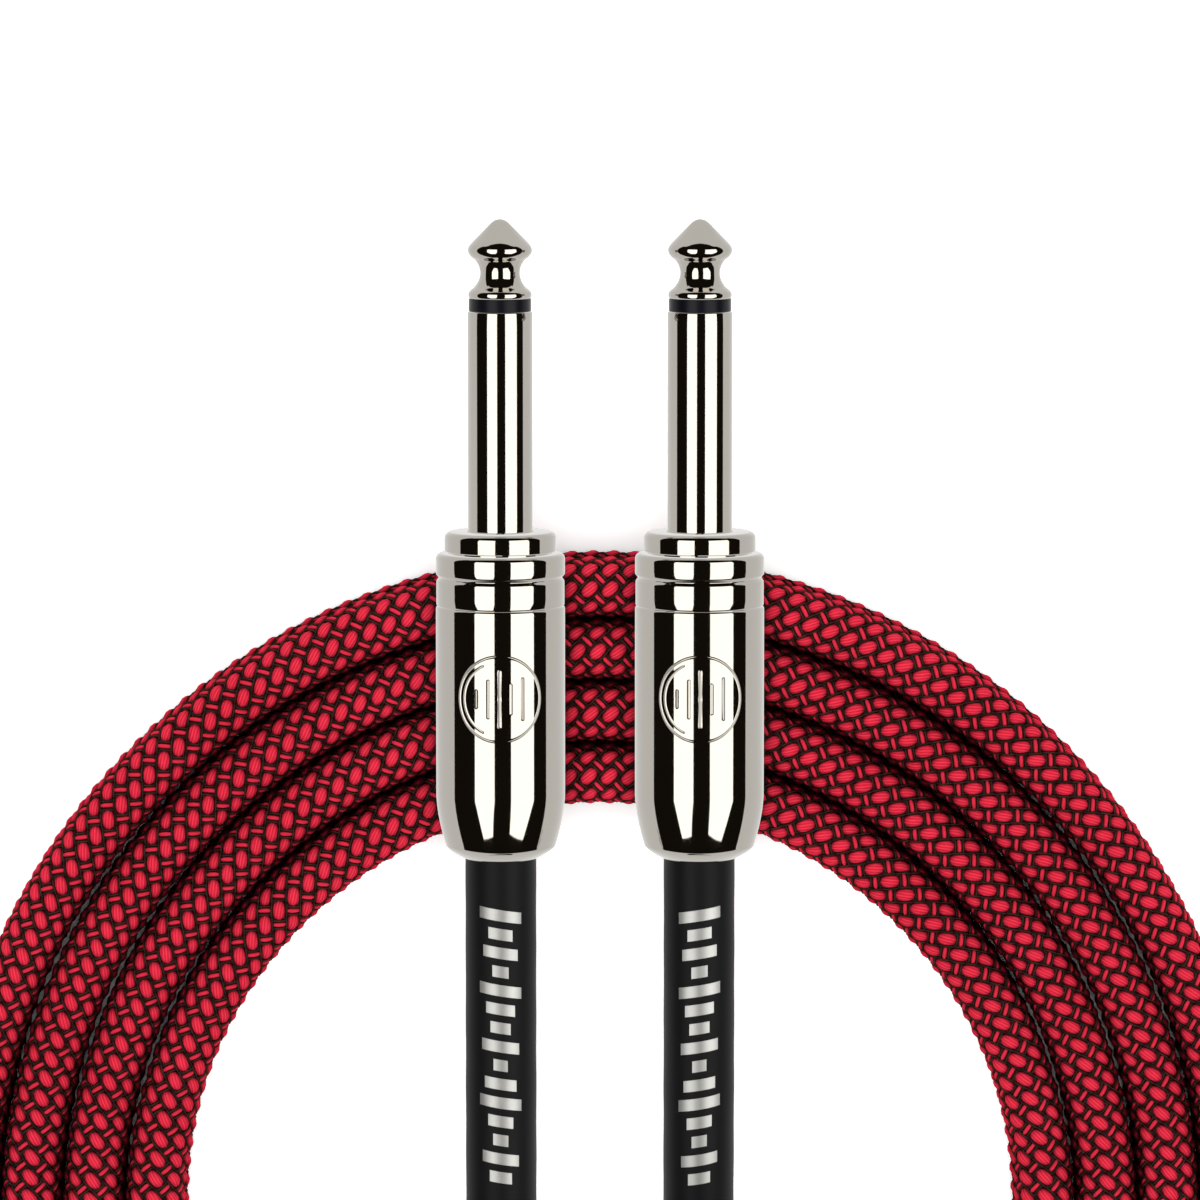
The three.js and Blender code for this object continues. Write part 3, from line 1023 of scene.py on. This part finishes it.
    def build(self) -> tuple[bpy.types.Object, list[bpy.types.Object]]:
        """Builds the jacket and the braid over it.

        Returns:
            The jacket and the braid's pieces.
        """
        centre, top, side, _ = self.route.at(travelled(evenly(self.route.points, 1.0)))
        turn = round_steps(self.jacket_faces)
        section = self.jacket_r * np.stack([np.cos(turn), np.sin(turn)], -1)
        jacket = make_piece("cable_jacket", *sweep(centre[None], side[None], top[None], section))
        outward(jacket)
        jacket.data.materials.append(self.finishes.jacket)
        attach(jacket, ROOT_BODY)
        unseen(jacket, "glossy")
        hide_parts("cable_coil", "left_cable_tail", "right_cable_tail")
        begin, end = self.sleeve_cover, self.route.length - self.sleeve_cover
        middle = begin + (end - begin) * self.upper_share
        pieces = []
        for red, colour in ((True, "red"), (False, "black")):
            for low, high, plain, label in ((begin, middle, False, "upper"), (middle, end, True, "lower")):
                parts = max(1, math.ceil(self.quads_per_mm(red, plain) * (high - low) / self.most_quads))
                edges = np.linspace(low, high, parts + 1)
                for n in range(parts):
                    name = f"{colour}_braid_{label}_{n + 1}"
                    pieces.append(self.braid_piece(name, red, edges[n], edges[n + 1], plain))
        LOG.info("braid: %d pieces over %.0f mm of cable", len(pieces), self.route.length)
        return jacket, pieces

    def quads_per_mm(self, red: bool, plain: bool) -> float:
        """Counts the faces that one millimetre of cable takes.

        Args:
            red: Whether the red yarns are counted, or the black ones.
            plain: Whether the lower layer's coarser sections serve.

        Returns:
            Faces a millimetre.
        """
        cycle = self.lay / self.carriers
        return sum(self.carriers * end.samples(plain) * len(end.outline(plain)) / cycle for end in self.ends(red))


# ---------------------------------------------------------------- plugs


@dataclass
class Plug:
    """A quarter-inch plug: turned contacts, a screw-on shell with its emblem, and the wired inside."""

    side_name: str
    axis_x: float
    finishes: Finishes
    axis_z: float = PLUG_Z
    seat_y: float = 16.25
    shaft_r: float = 3.175
    shaft_front: float = 21.15
    bore_r: float = 2.3
    collar_r: float = 5.5
    collar_front: float = -0.5
    collar_back: float = -2.45
    collar_round: float = 0.6
    thread_r: float = 4.9
    thread_back: float = -7.2
    thread_pitch: float = 0.8
    thread_depth: float = 0.28
    rod_r: float = 1.2
    centre_r: float = 0.05
    ring_r: float = 3.05
    ring_bore_r: float = 1.3
    ring_length: float = 1.3
    shell_r: float = 6.35
    shell_bore_r: float = 5.15
    emblem_y: float = -16.4
    emblem_r: float = 4.25
    emblem_rise: float = 0.012
    line_rise: float = 0.07
    line_half: float = 0.12
    arc_rise: float = 0.05
    arc_half: float = 0.11
    arc_inset: float = 0.6
    arc_end_x: float = -1.6
    bar_half: float = 0.16
    bar_step: float = 1.15
    bar_half_lengths: tuple[float, ...] = (0.8, 1.8, 2.7, 1.4, 2.0)

    def lathe(self, name: str, profile: Sequence[Sequence[float]], **options) -> bpy.types.Object:
        """Turns a profile on this plug's axis.

        Args:
            name: The piece's name without its side.
            profile: Points of distance from the seat and radius.
            **options: Anything else that turned takes.

        Returns:
            The turned piece.
        """
        return turned(
            f"{self.side_name}_{name}", np.array(profile, float), self.axis_x, self.axis_z, self.seat_y, **options
        )

    def dress(
        self, piece: bpy.types.Object, finish: bpy.types.Material, body: str, node: str = ""
    ) -> bpy.types.Object:
        """Gives a piece its finish and body, and hides the node it stands for.

        Args:
            piece: The piece.
            finish: Its material.
            body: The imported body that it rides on.
            node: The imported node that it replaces, without its side; none if it is only a detail.

        Returns:
            The same piece.
        """
        piece.data.materials.clear()
        piece.data.materials.append(finish)
        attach(piece, body)
        if node:
            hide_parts(f"{self.side_name}_{node}")
        LOG.info("%s: %d faces on %s", piece.name, len(piece.data.polygons), body)
        return piece

    def tip(self) -> bpy.types.Object:
        """Turns the tip contact: pointed nose, neck, back flange, and as a piece of its own the rod behind them.

        Returns:
            The nose, neck and flange.
        """
        low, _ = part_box(f"{self.side_name}_tip_contact")
        rod_end = low.y / MM - self.seat_y
        knots = [
            (22.46, 2.93), (22.52, 3.04), (22.68, 3.1), (22.9, 3.1), (23.1, 3.02), (23.32, 2.8), (23.5, 2.58),
            (23.62, 2.46), (23.9, 2.26), (24.25, 2.08), (24.6, 1.98), (24.95, 1.95), (25.3, 1.99), (25.65, 2.1),
            (25.95, 2.27), (26.2, 2.46), (26.32, 2.6), (26.5, 2.82), (26.7, 2.99), (26.9, 3.1), (27.12, 3.15),
            (27.34, 3.13), (27.56, 3.04), (27.8, 2.86), (28.1, 2.58), (28.5, 2.19), (29.0, 1.7), (29.4, 1.31),
            (29.7, 1.01), (29.87, 0.83), (30.0, 0.66), (30.1, 0.48), (30.17, 0.28), (30.2, 0.05),
        ]
        outline = blended(knots, 0.05)
        seat, root, thin, rod_r = knots[0][0], knots[0][0] - 0.1, self.centre_r, self.rod_r
        shank = [(rod_end, thin), (rod_end, rod_r - 0.1), (rod_end + 0.1, rod_r), (root, rod_r), (root, thin)]
        rod = self.lathe("tip_rod", shank, closed=False, segments=32)
        self.dress(rod, self.finishes.turned_nickel, ROOT_BODY)
        unseen(rod, "glossy")
        profile = [(root, thin), (root, rod_r), (seat, rod_r)] + [tuple(p) for p in outline]
        piece = self.lathe("tip", profile, closed=False, segments=112, sharp_deg=50)
        return self.dress(piece, self.finishes.nickel, ROOT_BODY, "tip_contact")

    def ring(self) -> bpy.types.Object:
        """Turns the black ring that parts the tip from the shaft.

        Returns:
            The ring.
        """
        back, front = self.shaft_front, self.shaft_front + self.ring_length
        r, bore, edge = self.ring_r, self.ring_bore_r, 0.08
        profile = [(back, bore), (back, r - edge), (back + edge, r)]
        profile += [(front - edge, r), (front, r - edge), (front, bore)]
        piece = self.lathe("tip_ring", profile)
        return self.dress(piece, self.finishes.black_ring, ROOT_BODY, "tip_insulator")

    def sleeve(self) -> bpy.types.Object:
        """Turns the shaft with its collar, and cuts the thread for the shell.

        Returns:
            The shaft, collar and thread in one piece.
        """
        front, back = self.shaft_front, self.thread_back
        profile = [(front, self.bore_r), (front, self.shaft_r - 0.1), (front - 0.03, self.shaft_r - 0.03)]
        seat, step = self.collar_front, self.collar_back
        profile += [(y, self.shaft_r) for y in np.linspace(front - 0.1, seat + 0.25, 12)]
        bend = self.collar_round
        profile += [(seat + 0.1, self.shaft_r + 0.04), (seat, self.shaft_r + 0.16), (seat, self.collar_r - bend)]
        profile += arc(seat - bend, self.collar_r - bend, bend, 8, 90, 8)
        profile += [(y, self.collar_r) for y in (seat - 0.9, seat - 1.3, step + 0.1)]
        profile += [(step, self.collar_r - 0.1), (step, self.thread_r + 0.05)]
        profile += [(y, self.thread_r) for y in np.arange(step - 0.05, back + 0.1, -0.1)]
        profile += [(back, self.thread_r - 0.35), (back, self.bore_r)]

        def cut(y: np.ndarray, turn: np.ndarray) -> np.ndarray:
            """Gives the depth of a right-hand thread at a place on it.

            Args:
                y: Distance from the seat.
                turn: Angle round the axis.

            Returns:
                How far below the crest the metal lies, as a negative number.
            """
            phase = (y / self.thread_pitch + turn / FULL_TURN) % 1
            fade = smooth_step((self.collar_back - 0.3 - y) / 0.4) * smooth_step((y - back) / 0.5)
            return -self.thread_depth * np.abs(2 * phase - 1) * fade * (y < self.collar_back) * (y > back)

        piece = self.lathe("shaft", profile, ripple=cut, sharp_deg=34)
        return self.dress(piece, self.finishes.nickel, ROOT_BODY, "sleeve_contact")

    def shell_outline(self) -> list[tuple[float, float]]:
        """Draws the shell's section: shoulder, band, groove, recess, body, taper, rolled back edge and bore.

        Returns:
            Points of distance from the seat and radius.
        """
        r = self.shell_r
        outline = [(-2.6, self.shell_bore_r + 0.05)] + arc(-3.15, r - 0.55, 0.55, 0, 90, 10)
        outline += [(-3.4, r), (-4.0, r), (-4.6, r), (-4.68, r - 0.02), (-4.78, r - 0.11), (-4.9, r - 0.22)]
        outline += [(-5.0, r - 0.28), (-5.05, r - 0.28), (-5.15, r - 0.22), (-5.27, r - 0.11), (-5.37, r - 0.06)]
        outline += [(-5.5, r - 0.05), (-6.0, r - 0.05), (-6.8, r - 0.05), (-7.66, r - 0.05), (-7.72, r - 0.07)]
        outline += [(-7.81, r - 0.15), (-7.85, r - 0.15), (-7.94, r - 0.05), (-8.02, r - 0.01), (-8.12, r)]
        outline += [(float(y), r) for y in np.linspace(-8.5, -26.2, 18)]
        outline += [(-26.4 - 5.1 * u, r - 0.92 * u**1.7) for u in np.linspace(0, 1, 26)]
        outline += [(-31.5 - 1.25 * v, 3.75 + (r - 4.67) * (1 - v**1.5)) for v in np.linspace(0.04, 1, 22)]
        outline += [(-32.8, 3.72), (-32.75, 3.7), (-31.7, 3.7), (-30.35, self.shell_bore_r), (-16, self.shell_bore_r)]
        outline += [(-2.75, self.shell_bore_r), (-2.65, self.shell_bore_r + 0.02)]
        return outline

    def shell(self) -> bpy.types.Object:
        """Turns the shell."""
        piece = self.lathe("turned_shell", self.shell_outline(), segments=192, sharp_deg=30)
        return self.dress(piece, self.finishes.nickel, f"{self.side_name}_turning_shell", "shell")

    def emblem_height(self, x: np.ndarray, y: np.ndarray) -> np.ndarray:
        """Gives the emblem's relief: a fine ring, and in it a short arc and a plain row of upright bars.

        Args:
            x: Distance across the shell from the middle, in millimetres.
            y: Distance along it.

        Returns:
            Height over the shell in millimetres.
        """
        out = np.hypot(x, y)

        def bead(gap: np.ndarray, half: float) -> np.ndarray:
            """Rounds a line's top over half its width."""
            return np.clip(1 - (gap / half) ** 2, 0, 1)

        past_edge = out - self.emblem_r
        height = self.emblem_rise * smooth_step(-past_edge / 0.12)
        height = height + self.line_rise * bead(past_edge + 0.04, self.line_half)
        height = height + self.arc_rise * bead(past_edge + self.arc_inset, self.arc_half) * (x < self.arc_end_x)
        for bar, half in enumerate(self.bar_half_lengths):
            across = np.abs(x - (bar - len(self.bar_half_lengths) // 2) * self.bar_step)
            beyond = np.maximum(np.abs(y) - half, 0)
            height = height + self.line_rise * bead(np.hypot(across, beyond), self.bar_half)
        # outside the ring the disc sinks into the shell, so that no edge of it shows
        return height - 0.05 * smooth_step((past_edge - 0.1) / 0.1)

    def emblem(self) -> bpy.types.Object:
        """Presses the emblem's relief on the top of the shell.

        Returns:
            The emblem, a thin disc let into the shell.
        """
        rings, spokes, hole, margin, under_depth = 106, 336, 0.02, 0.2, 0.12
        radius = np.linspace(hole, self.emblem_r + margin, rings)
        turn = round_steps(spokes)
        x = radius[:, None] * np.cos(turn)[None]
        y = radius[:, None] * np.sin(turn)[None]

        def wrapped(r: np.ndarray) -> np.ndarray:
            """Wraps the flat drawing round the shell at a radius."""
            return np.stack(
                [
                    self.axis_x + r * np.sin(x / self.shell_r),
                    self.seat_y + self.emblem_y + y + 0 * r,
                    self.axis_z + r * np.cos(x / self.shell_r),
                ],
                -1,
            ).reshape(-1, 3)

        face = wrapped(self.shell_r + self.emblem_height(x, y))
        under = wrapped(self.shell_r - under_depth + 0 * x)
        top = ring_quads(rings, spokes)
        base = rings * spokes
        j = np.arange(spokes)
        edge, edge_next = base - spokes + j, base - spokes + (j + 1) % spokes
        rim = np.stack([edge, edge + base, edge_next + base, edge_next], -1)
        quads = np.concatenate([top, rim, (top + base)[:, ::-1]])
        caps = [list(j[::-1]), list(base + j)]
        piece = make_piece(f"{self.side_name}_emblem", np.vstack([face, under]), quads, caps, None, 80)
        outward(piece)
        return self.dress(piece, self.finishes.nickel, f"{self.side_name}_turning_shell")

    def inside(self) -> None:
        """Dresses the wired parts that the shell hides."""
        look = {
            "rod_insulating_tube": self.finishes.black_ring,
            "rear_insulator": self.finishes.fibre,
            "tip_lug": self.finishes.brass,
            "ground_lug": self.finishes.tinned,
            "insulating_liner": self.finishes.clear,
            "noise_screen": self.finishes.screen,
            "core_insulation": self.finishes.core_plastic,
            "centre_conductor": self.finishes.copper,
            "shield_pigtail": self.finishes.tinned,
            "tip_solder": self.finishes.solder,
            "ground_solder": self.finishes.solder,
        }
        for node, finish in look.items():
            piece = NODES[f"{self.side_name}_{node}"]
            piece.data.materials.clear()
            piece.data.materials.append(finish)
            unseen(piece, "glossy")
        LOG.info("%s plug: %d inner parts dressed", self.side_name, len(look))

    def build(self) -> list[bpy.types.Object]:
        """Builds the plug; only its tip shows in the other metal, so that the pair doesn't mirror itself.

        Returns:
            Tip, ring, shaft, shell and emblem.
        """
        pieces = [self.tip(), self.ring(), self.sleeve(), self.shell(), self.emblem()]
        for piece in pieces[1:]:
            unseen(piece, "glossy")
        self.inside()
        return pieces


@dataclass
class ShrinkSleeve:
    """A black sleeve shrunk over the cable's end, with a row of silver bars stamped on its top."""

    side_name: str
    route: Route
    finishes: Finishes
    start: float = 6.4
    length: float = 49.0
    radius: float = 3.5
    bore: float = 3.16
    print_start: float = 18.0
    print_stop: float = 46.0
    bar_step: float = 1.86
    bar_width: float = 1.12
    bar_lean: float = -0.16
    foil_rise: float = 0.035
    mouth: float = 1.2
    mouth_drop: float = 0.3
    waviness: float = 0.012
    bar_half_spans: tuple[float, ...] = (
        2.15, 1.2, 1.75, 0.8, 2.15, 1.45, 1.0, 1.9, 0.7, 1.6, 2.15, 1.25, 0.75, 1.85, 1.1, 1.5, 0.8, 1.2,
    )

    def along(self, distance: np.ndarray) -> np.ndarray:
        """Turns a distance from this plug's end into one along the whole cable."""
        return distance if self.side_name == "left" else self.route.length - distance

    def tube(self) -> bpy.types.Object:
        """Builds the sleeve with a softly rounded mouth.

        Returns:
            The sleeve, open at both ends.
        """
        straight = self.length - self.mouth
        easing = np.sin(np.linspace(0.15, 1, 8) * math.pi / 2)
        d = np.concatenate([np.linspace(0, 0.25, 4), np.linspace(0.5, straight, 90), straight + self.mouth * easing])
        rounding = self.mouth_drop * np.clip((d - straight) / self.mouth, 0, 1) ** 2.2
        outer = self.radius - rounding + self.waviness * np.sin(d * 0.9)
        centre, top, side, _ = self.route.at(self.along(self.start + d))
        turn = round_steps(56)
        ring = np.cos(turn)[None, :, None] * top[:, None] + np.sin(turn)[None, :, None] * side[:, None]
        out = centre[:, None] + outer[:, None, None] * ring
        inner = centre[:, None] + self.bore * ring
        rows = np.concatenate([out, inner[::-1]])
        quads = ring_quads(len(rows), len(turn), closed=True)
        piece = outward(make_piece(f"{self.side_name}_shrunk_sleeve", rows.reshape(-1, 3), quads))
        piece.data.materials.append(self.finishes.shrink)
        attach(piece, ROOT_BODY)
        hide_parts(f"{self.side_name}_shrink_sleeve")
        unseen(piece, "glossy")
        LOG.info("%s: %.0f mm long", piece.name, self.length)
        return piece

    def stamped_bars(self) -> bpy.types.Object:
        """Stamps bars of different spans across the sleeve, as a plain sound level pattern.

        Returns:
            All the bars in one piece.
        """
        verts, quads, base = [], [], 0
        for k, span in enumerate(self.bar_half_spans):
            middle = self.print_start + self.bar_width / 2 + k * self.bar_step
            if middle > self.print_stop:
                break
            v, q = self.bar(middle, span)
            verts.append(v)
            quads.append(q + base)
            base += len(v)
        name = f"{self.side_name}_stamped_bars"
        piece = outward(make_piece(name, np.vstack(verts), np.vstack(quads), sharp_deg=60))
        piece.data.materials.append(self.finishes.foil)
        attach(piece, ROOT_BODY)
        LOG.info("%s: %d bars", piece.name, len(verts))
        return piece

    def bar(self, middle: float, span: float) -> tuple[np.ndarray, np.ndarray]:
        """Wraps one thin bar round the sleeve.

        Args:
            middle: Distance of its middle from the cable's end.
            span: Half its reach round the sleeve, in millimetres.

        Returns:
            Vertices and quads of a closed thin plate.
        """
        lengthwise, crosswise = 3, 25
        u = np.linspace(-1, 1, crosswise)
        v = np.linspace(-1, 1, lengthwise)
        distance = middle + self.bar_width / 2 * v[:, None] + self.bar_lean * span * u[None, :]
        angle = span * u[None, :] / self.radius + 0 * distance
        centre, top, side, _ = self.route.at(self.along(distance.ravel()))
        a = angle.ravel()
        ring = np.cos(a)[:, None] * top + np.sin(a)[:, None] * side
        face = centre + (self.radius + self.foil_rise) * ring
        under = centre + (self.radius - 0.05) * ring
        grid = np.arange(lengthwise * crosswise).reshape(lengthwise, crosswise)
        cells = np.stack([grid[:-1, :-1], grid[:-1, 1:], grid[1:, 1:], grid[1:, :-1]], -1).reshape(-1, 4)
        count = lengthwise * crosswise
        edge = np.array([*grid[0, :], *grid[1:, -1], *grid[-1, -2::-1], *grid[-2:0:-1, 0]])
        edge_next = np.roll(edge, -1)
        wall = np.stack([edge_next, edge, edge + count, edge_next + count], -1)
        return np.vstack([face, under]), np.concatenate([cells, cells[:, ::-1] + count, wall])

    def build(self) -> list[bpy.types.Object]:
        """Builds the sleeve and its stamped bars."""
        return [self.tube(), self.stamped_bars()]


@dataclass
class Tie:
    """A hook-and-loop strap round the coil, its end lapped over on top."""

    finishes: Finishes
    width: float = 12.0
    thickness: float = 1.05
    inner_y: float = -40.35
    outer_y: float = -67.65
    low_z: float = 0.6
    high_z: float = 14.25
    lap_rise: float = 1.12
    corner: float = 3.2

    def loop(self) -> np.ndarray:
        """Draws the strap's line in the plane across the coil.

        Returns:
            Points of Y about the coil's centre and Z, in millimetres.
        """
        c = self.corner
        corners = [
            (self.inner_y - c, self.high_z - c, 90, 0),
            (self.inner_y - c, self.low_z + c, 0, -90),
            (self.outer_y + c, self.low_z + c, -90, -180),
        ]
        line = [(self.outer_y + c + 2.6, self.high_z - 0.1), (-56.0, self.high_z), (-50.0, self.high_z)]
        for y, z, a0, a1 in corners:
            for a in np.radians(np.linspace(a0, a1, 7)):
                line.append((y + c * math.cos(a), z + c * math.sin(a)))
        lap_z = self.high_z + self.lap_rise
        for a in np.radians(np.linspace(180, 90, 7)):
            line.append((self.outer_y + c + c * math.cos(a), lap_z - c + c * math.sin(a)))
        line += [(-58.0, lap_z), (-52.0, lap_z + 0.05), (-47.5, lap_z + 0.1)]
        return blended(line, 0.35)

    def build(self) -> bpy.types.Object:
        """Sweeps the strap's rounded section round its line.

        Returns:
            The strap.
        """
        flat = self.loop()
        count = len(flat)
        centre = np.stack([np.zeros(count), flat[:, 0] + COIL_CENTRE_Y, flat[:, 1]], -1)
        run = unit(np.gradient(centre, axis=0))
        across = np.tile(np.array([1.0, 0, 0]), (count, 1))
        out = np.cross(run, across)
        w, t, r = self.width / 2, self.thickness / 2, 0.4
        section = []
        for cx, cz, a0 in ((w - r, t - r, 0), (r - w, t - r, 90), (r - w, r - t, 180), (w - r, r - t, 270)):
            for a in np.radians(np.linspace(a0, a0 + 90, 5)):
                section.append((cx + r * math.cos(a), cz + r * math.sin(a)))
        top_row = [(x, t) for x in np.linspace(w - r, -w + r, 10)[1:-1]]
        low_row = [(x, -t) for x in np.linspace(-w + r, w - r, 10)[1:-1]]
        section = section[:5] + top_row + section[5:15] + low_row + section[15:]
        piece = outward(make_piece("strap_tie", *sweep(centre[None], across[None], out[None], np.array(section)), 50))
        piece.data.materials.append(self.finishes.strap)
        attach(piece, ROOT_BODY)
        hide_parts("cable_tie")
        LOG.info("strap_tie: %d faces", len(piece.data.polygons))
        return piece


# ---------------------------------------------------------------- studio


@dataclass
class Studio:
    """Pale floor, two long soft lights, dark flags round them, and the camera above. Lengths are in metres."""

    aim: tuple[float, float, float] = (0.0, 0.00897, 0.01895)
    distance: float = 0.667
    tilt: float = 0.103
    lens: float = 203.3
    light_distance: float = 0.8
    light_length: float = 1.0
    light_shift: float = -0.06
    light_taper: float = 0.1
    radiance: float = 2.6
    left_light_deg: tuple[float, float] = (-10.5, -45.5)
    left_tail_deg: tuple[float, float] = (-16.0, -36.0)
    right_light_deg: tuple[float, float] = (18.4, 61.0)
    right_tail_deg: tuple[float, float] = (18.4, 48.0)
    overhead_level: float = 1.25
    overhead_spread_deg: float = 50.0
    floor_half: float = 20.0
    # the floor's glow, and the reach and ramp of the ambient occlusion that takes it away near the cable as painted
    # shadow
    floor_painted_glow: float = 0.5
    floor_shadow_reach: float = 0.025
    floor_shadow_ramp: tuple[float, float] = (0.1, 0.5)
    back_half_width: float = 3.0
    back_y: float = 2.4
    back_height: float = 0.27
    flag_radius: float = 3.0
    flag_glow: float = 0.011
    room: float = 0.72

    def camera(self) -> None:
        """Places the camera over the plugs, a little towards their tips."""
        data = bpy.data.cameras.new("camera")
        data.lens, data.sensor_width = self.lens, 36.0
        data.clip_start, data.clip_end = 0.01, 100
        holder = bpy.data.objects.new("camera", data)
        offset = Vector((0, math.sin(self.tilt), math.cos(self.tilt))) * self.distance
        holder.location = Vector(self.aim) + offset
        holder.rotation_euler = (-self.tilt, 0, 0)
        bpy.context.scene.collection.objects.link(holder)
        bpy.context.scene.camera = holder

    def strip(self, name: str, edges_deg: tuple[float, float], tail_deg: tuple[float, float]) -> None:
        """Hangs a long soft light that narrows at its near end.

        Args:
            name: The light's name.
            edges_deg: Angles from upright of its two long edges; a negative angle is to the left.
            tail_deg: The same two edges at the end nearest the cable's loop.
        """
        middle = math.radians(sum(edges_deg) / 2)
        far, near = self.light_shift + self.light_length / 2, self.light_shift - self.light_length / 2
        corners = []
        for y, pair in ((far, edges_deg), (self.light_shift - self.light_taper, edges_deg), (near, tail_deg)):
            for angle in map(math.radians, pair):
                reach = self.light_distance / math.cos(angle - middle)
                corners.append((reach * math.sin(angle), y, reach * math.cos(angle)))
        card = make_piece(name, np.array(corners) / MM, np.array([[0, 1, 3, 2], [2, 3, 5, 4]]))
        card.data.materials.append(self.glowing(f"{name}_diffuser", self.radiance, "#FFFEFA"))
        unseen(card, "camera", "diffuse", "shadow")

    def glowing(self, name: str, strength: float, colour: str = "#FFFFFF") -> bpy.types.Material:
        """Makes a card that shines evenly.

        Args:
            name: The material's name.
            strength: How strongly it shines.
            colour: Its light, in sRGB hex.

        Returns:
            The material.
        """
        made = bpy.data.materials.new(name)
        made.use_nodes = True
        made.node_tree.nodes.clear()
        glow = add_node(made.node_tree, "ShaderNodeEmission", {"Color": linear(colour), "Strength": strength})
        add_node(made.node_tree, "ShaderNodeOutputMaterial", links={"Surface": glow.outputs[0]})
        return made

    def card(self, name: str, corners: Sequence[Sequence[float]], material: bpy.types.Material) -> bpy.types.Object:
        """Stands or lays a flat card for the set.

        Args:
            name: The card's name.
            corners: Its four corners in metres.
            material: What it is made of.

        Returns:
            The card.
        """
        made = make_piece(name, np.array(corners) / MM, np.array([[0, 1, 2, 3]]))
        made.data.materials.append(material)
        return made

    def floor(self) -> None:
        """Lays the floor, matt pale card, a card standing behind it, and an even card that only the metal mirrors."""
        made, tree, shader = Finish("matt_pale_card", "#F9F9F9", 0.9).begin()
        shader.inputs["Specular IOR Level"].default_value = 0.0
        shader.inputs["Emission Color"].default_value = (1, 1, 1, 1)
        # the floor glows a little where it lies open; ambient occlusion fades the glow to nothing in the cable's
        # grooves and close beside it, as a painted shadow
        shade_occlusion = add_node(tree, "ShaderNodeAmbientOcclusion", {"samples": 8, "Distance": self.floor_shadow_reach})
        shut, clear = self.floor_shadow_ramp
        glow = add_node(
            tree,
            "ShaderNodeMapRange",
            {"interpolation_type": "SMOOTHSTEP", 1: shut, 2: clear, 3: 0.0, 4: self.floor_painted_glow},
            {0: shade_occlusion.outputs["AO"]},
        )
        tree.links.new(glow.outputs[0], shader.inputs["Emission Strength"])
        half, floor_z, bounce_z = self.floor_half, -0.02 * MM, -1.0 * MM
        outline = [(-half, -half), (half, -half), (half, half), (-half, half)]
        floor = self.card("floor", [(x, y, floor_z) for x, y in outline], made)
        unseen(floor, "glossy")
        white = self.glowing("white_bounce_card", 1.0)
        bounce = self.card("bounce_card", [(x, y, bounce_z) for x, y in outline], white)
        unseen(bounce, "camera", "diffuse", "transmission", "shadow")
        wide, near, high = self.back_half_width, self.back_y, self.back_height
        stand = [(-wide, near, 0.0), (wide, near, 0.0), (wide, near, high), (-wide, near, high)]
        back = self.card("back_card", stand, self.glowing("white_back_card", 1.0))

    def overhead(self) -> None:
        """Hangs the main soft light straight above; it is far wider than the strips, so the metal doesn't mirror it."""
        data = bpy.data.lights.new("overhead", "SUN")
        data.energy, data.angle = math.pi * self.overhead_level, math.radians(self.overhead_spread_deg)
        holder = bpy.data.objects.new("overhead", data)
        unseen(holder, "glossy")
        bpy.context.scene.collection.objects.link(holder)

    def flags(self) -> None:
        """Hangs a dark dome round the set, unseen by the lens, so that the metal has something dark to mirror."""
        steps, segments = 12, 32
        rise = np.linspace(0, math.pi / 2, steps)[:, None]
        turn = round_steps(segments)[None]
        across, up = np.cos(rise), np.sin(rise)
        verts = self.flag_radius * np.stack([across * np.cos(turn), across * np.sin(turn), up + 0 * turn], -1)
        dome = make_piece("dark_flags", verts.reshape(-1, 3) / MM, ring_quads(steps, segments)[:, ::-1])
        dome.data.materials.append(self.glowing("black_flag_cloth", self.flag_glow, "#FFE0C0"))
        unseen(dome, "camera", "shadow")

    def build(self) -> None:
        """Sets up the world, the floor, the flags and the lights."""
        scene = bpy.context.scene
        scene.view_settings.view_transform = "Standard"
        world = bpy.data.worlds.new("pale_room")
        scene.world = world
        world.use_nodes = True
        world.node_tree.nodes["Background"].inputs["Color"].default_value = (self.room, self.room, self.room, 1)
        self.floor()
        self.flags()
        self.overhead()
        self.strip("left_strip", self.left_light_deg, self.left_tail_deg)
        self.strip("right_strip", self.right_light_deg, self.right_tail_deg)
        LOG.info("studio: floor, flags and two strips")


# ---------------------------------------------------------------- assembly


def main() -> None:
    studio = Studio()
    studio.camera()
    finishes = Finishes()
    route = Route()
    LOG.info("cable route: %.1f mm", route.length)
    jacket, braid = BraidedCable(route, finishes).build()
    left_plug = Plug("left", -PLUG_X, finishes).build()
    right_plug = Plug("right", PLUG_X, finishes).build()
    left_sleeve = ShrinkSleeve("left", route, finishes).build()
    right_sleeve = ShrinkSleeve("right", route, finishes).build()
    tie = Tie(finishes).build()
    LOG.info("plugs: %d pieces, sleeves: %d", len(left_plug + right_plug), len(left_sleeve + right_sleeve))
    studio.build()


if __name__ == "__main__":
    logging.basicConfig(level=logging.INFO, format="%(name)s: %(message)s")
    main()
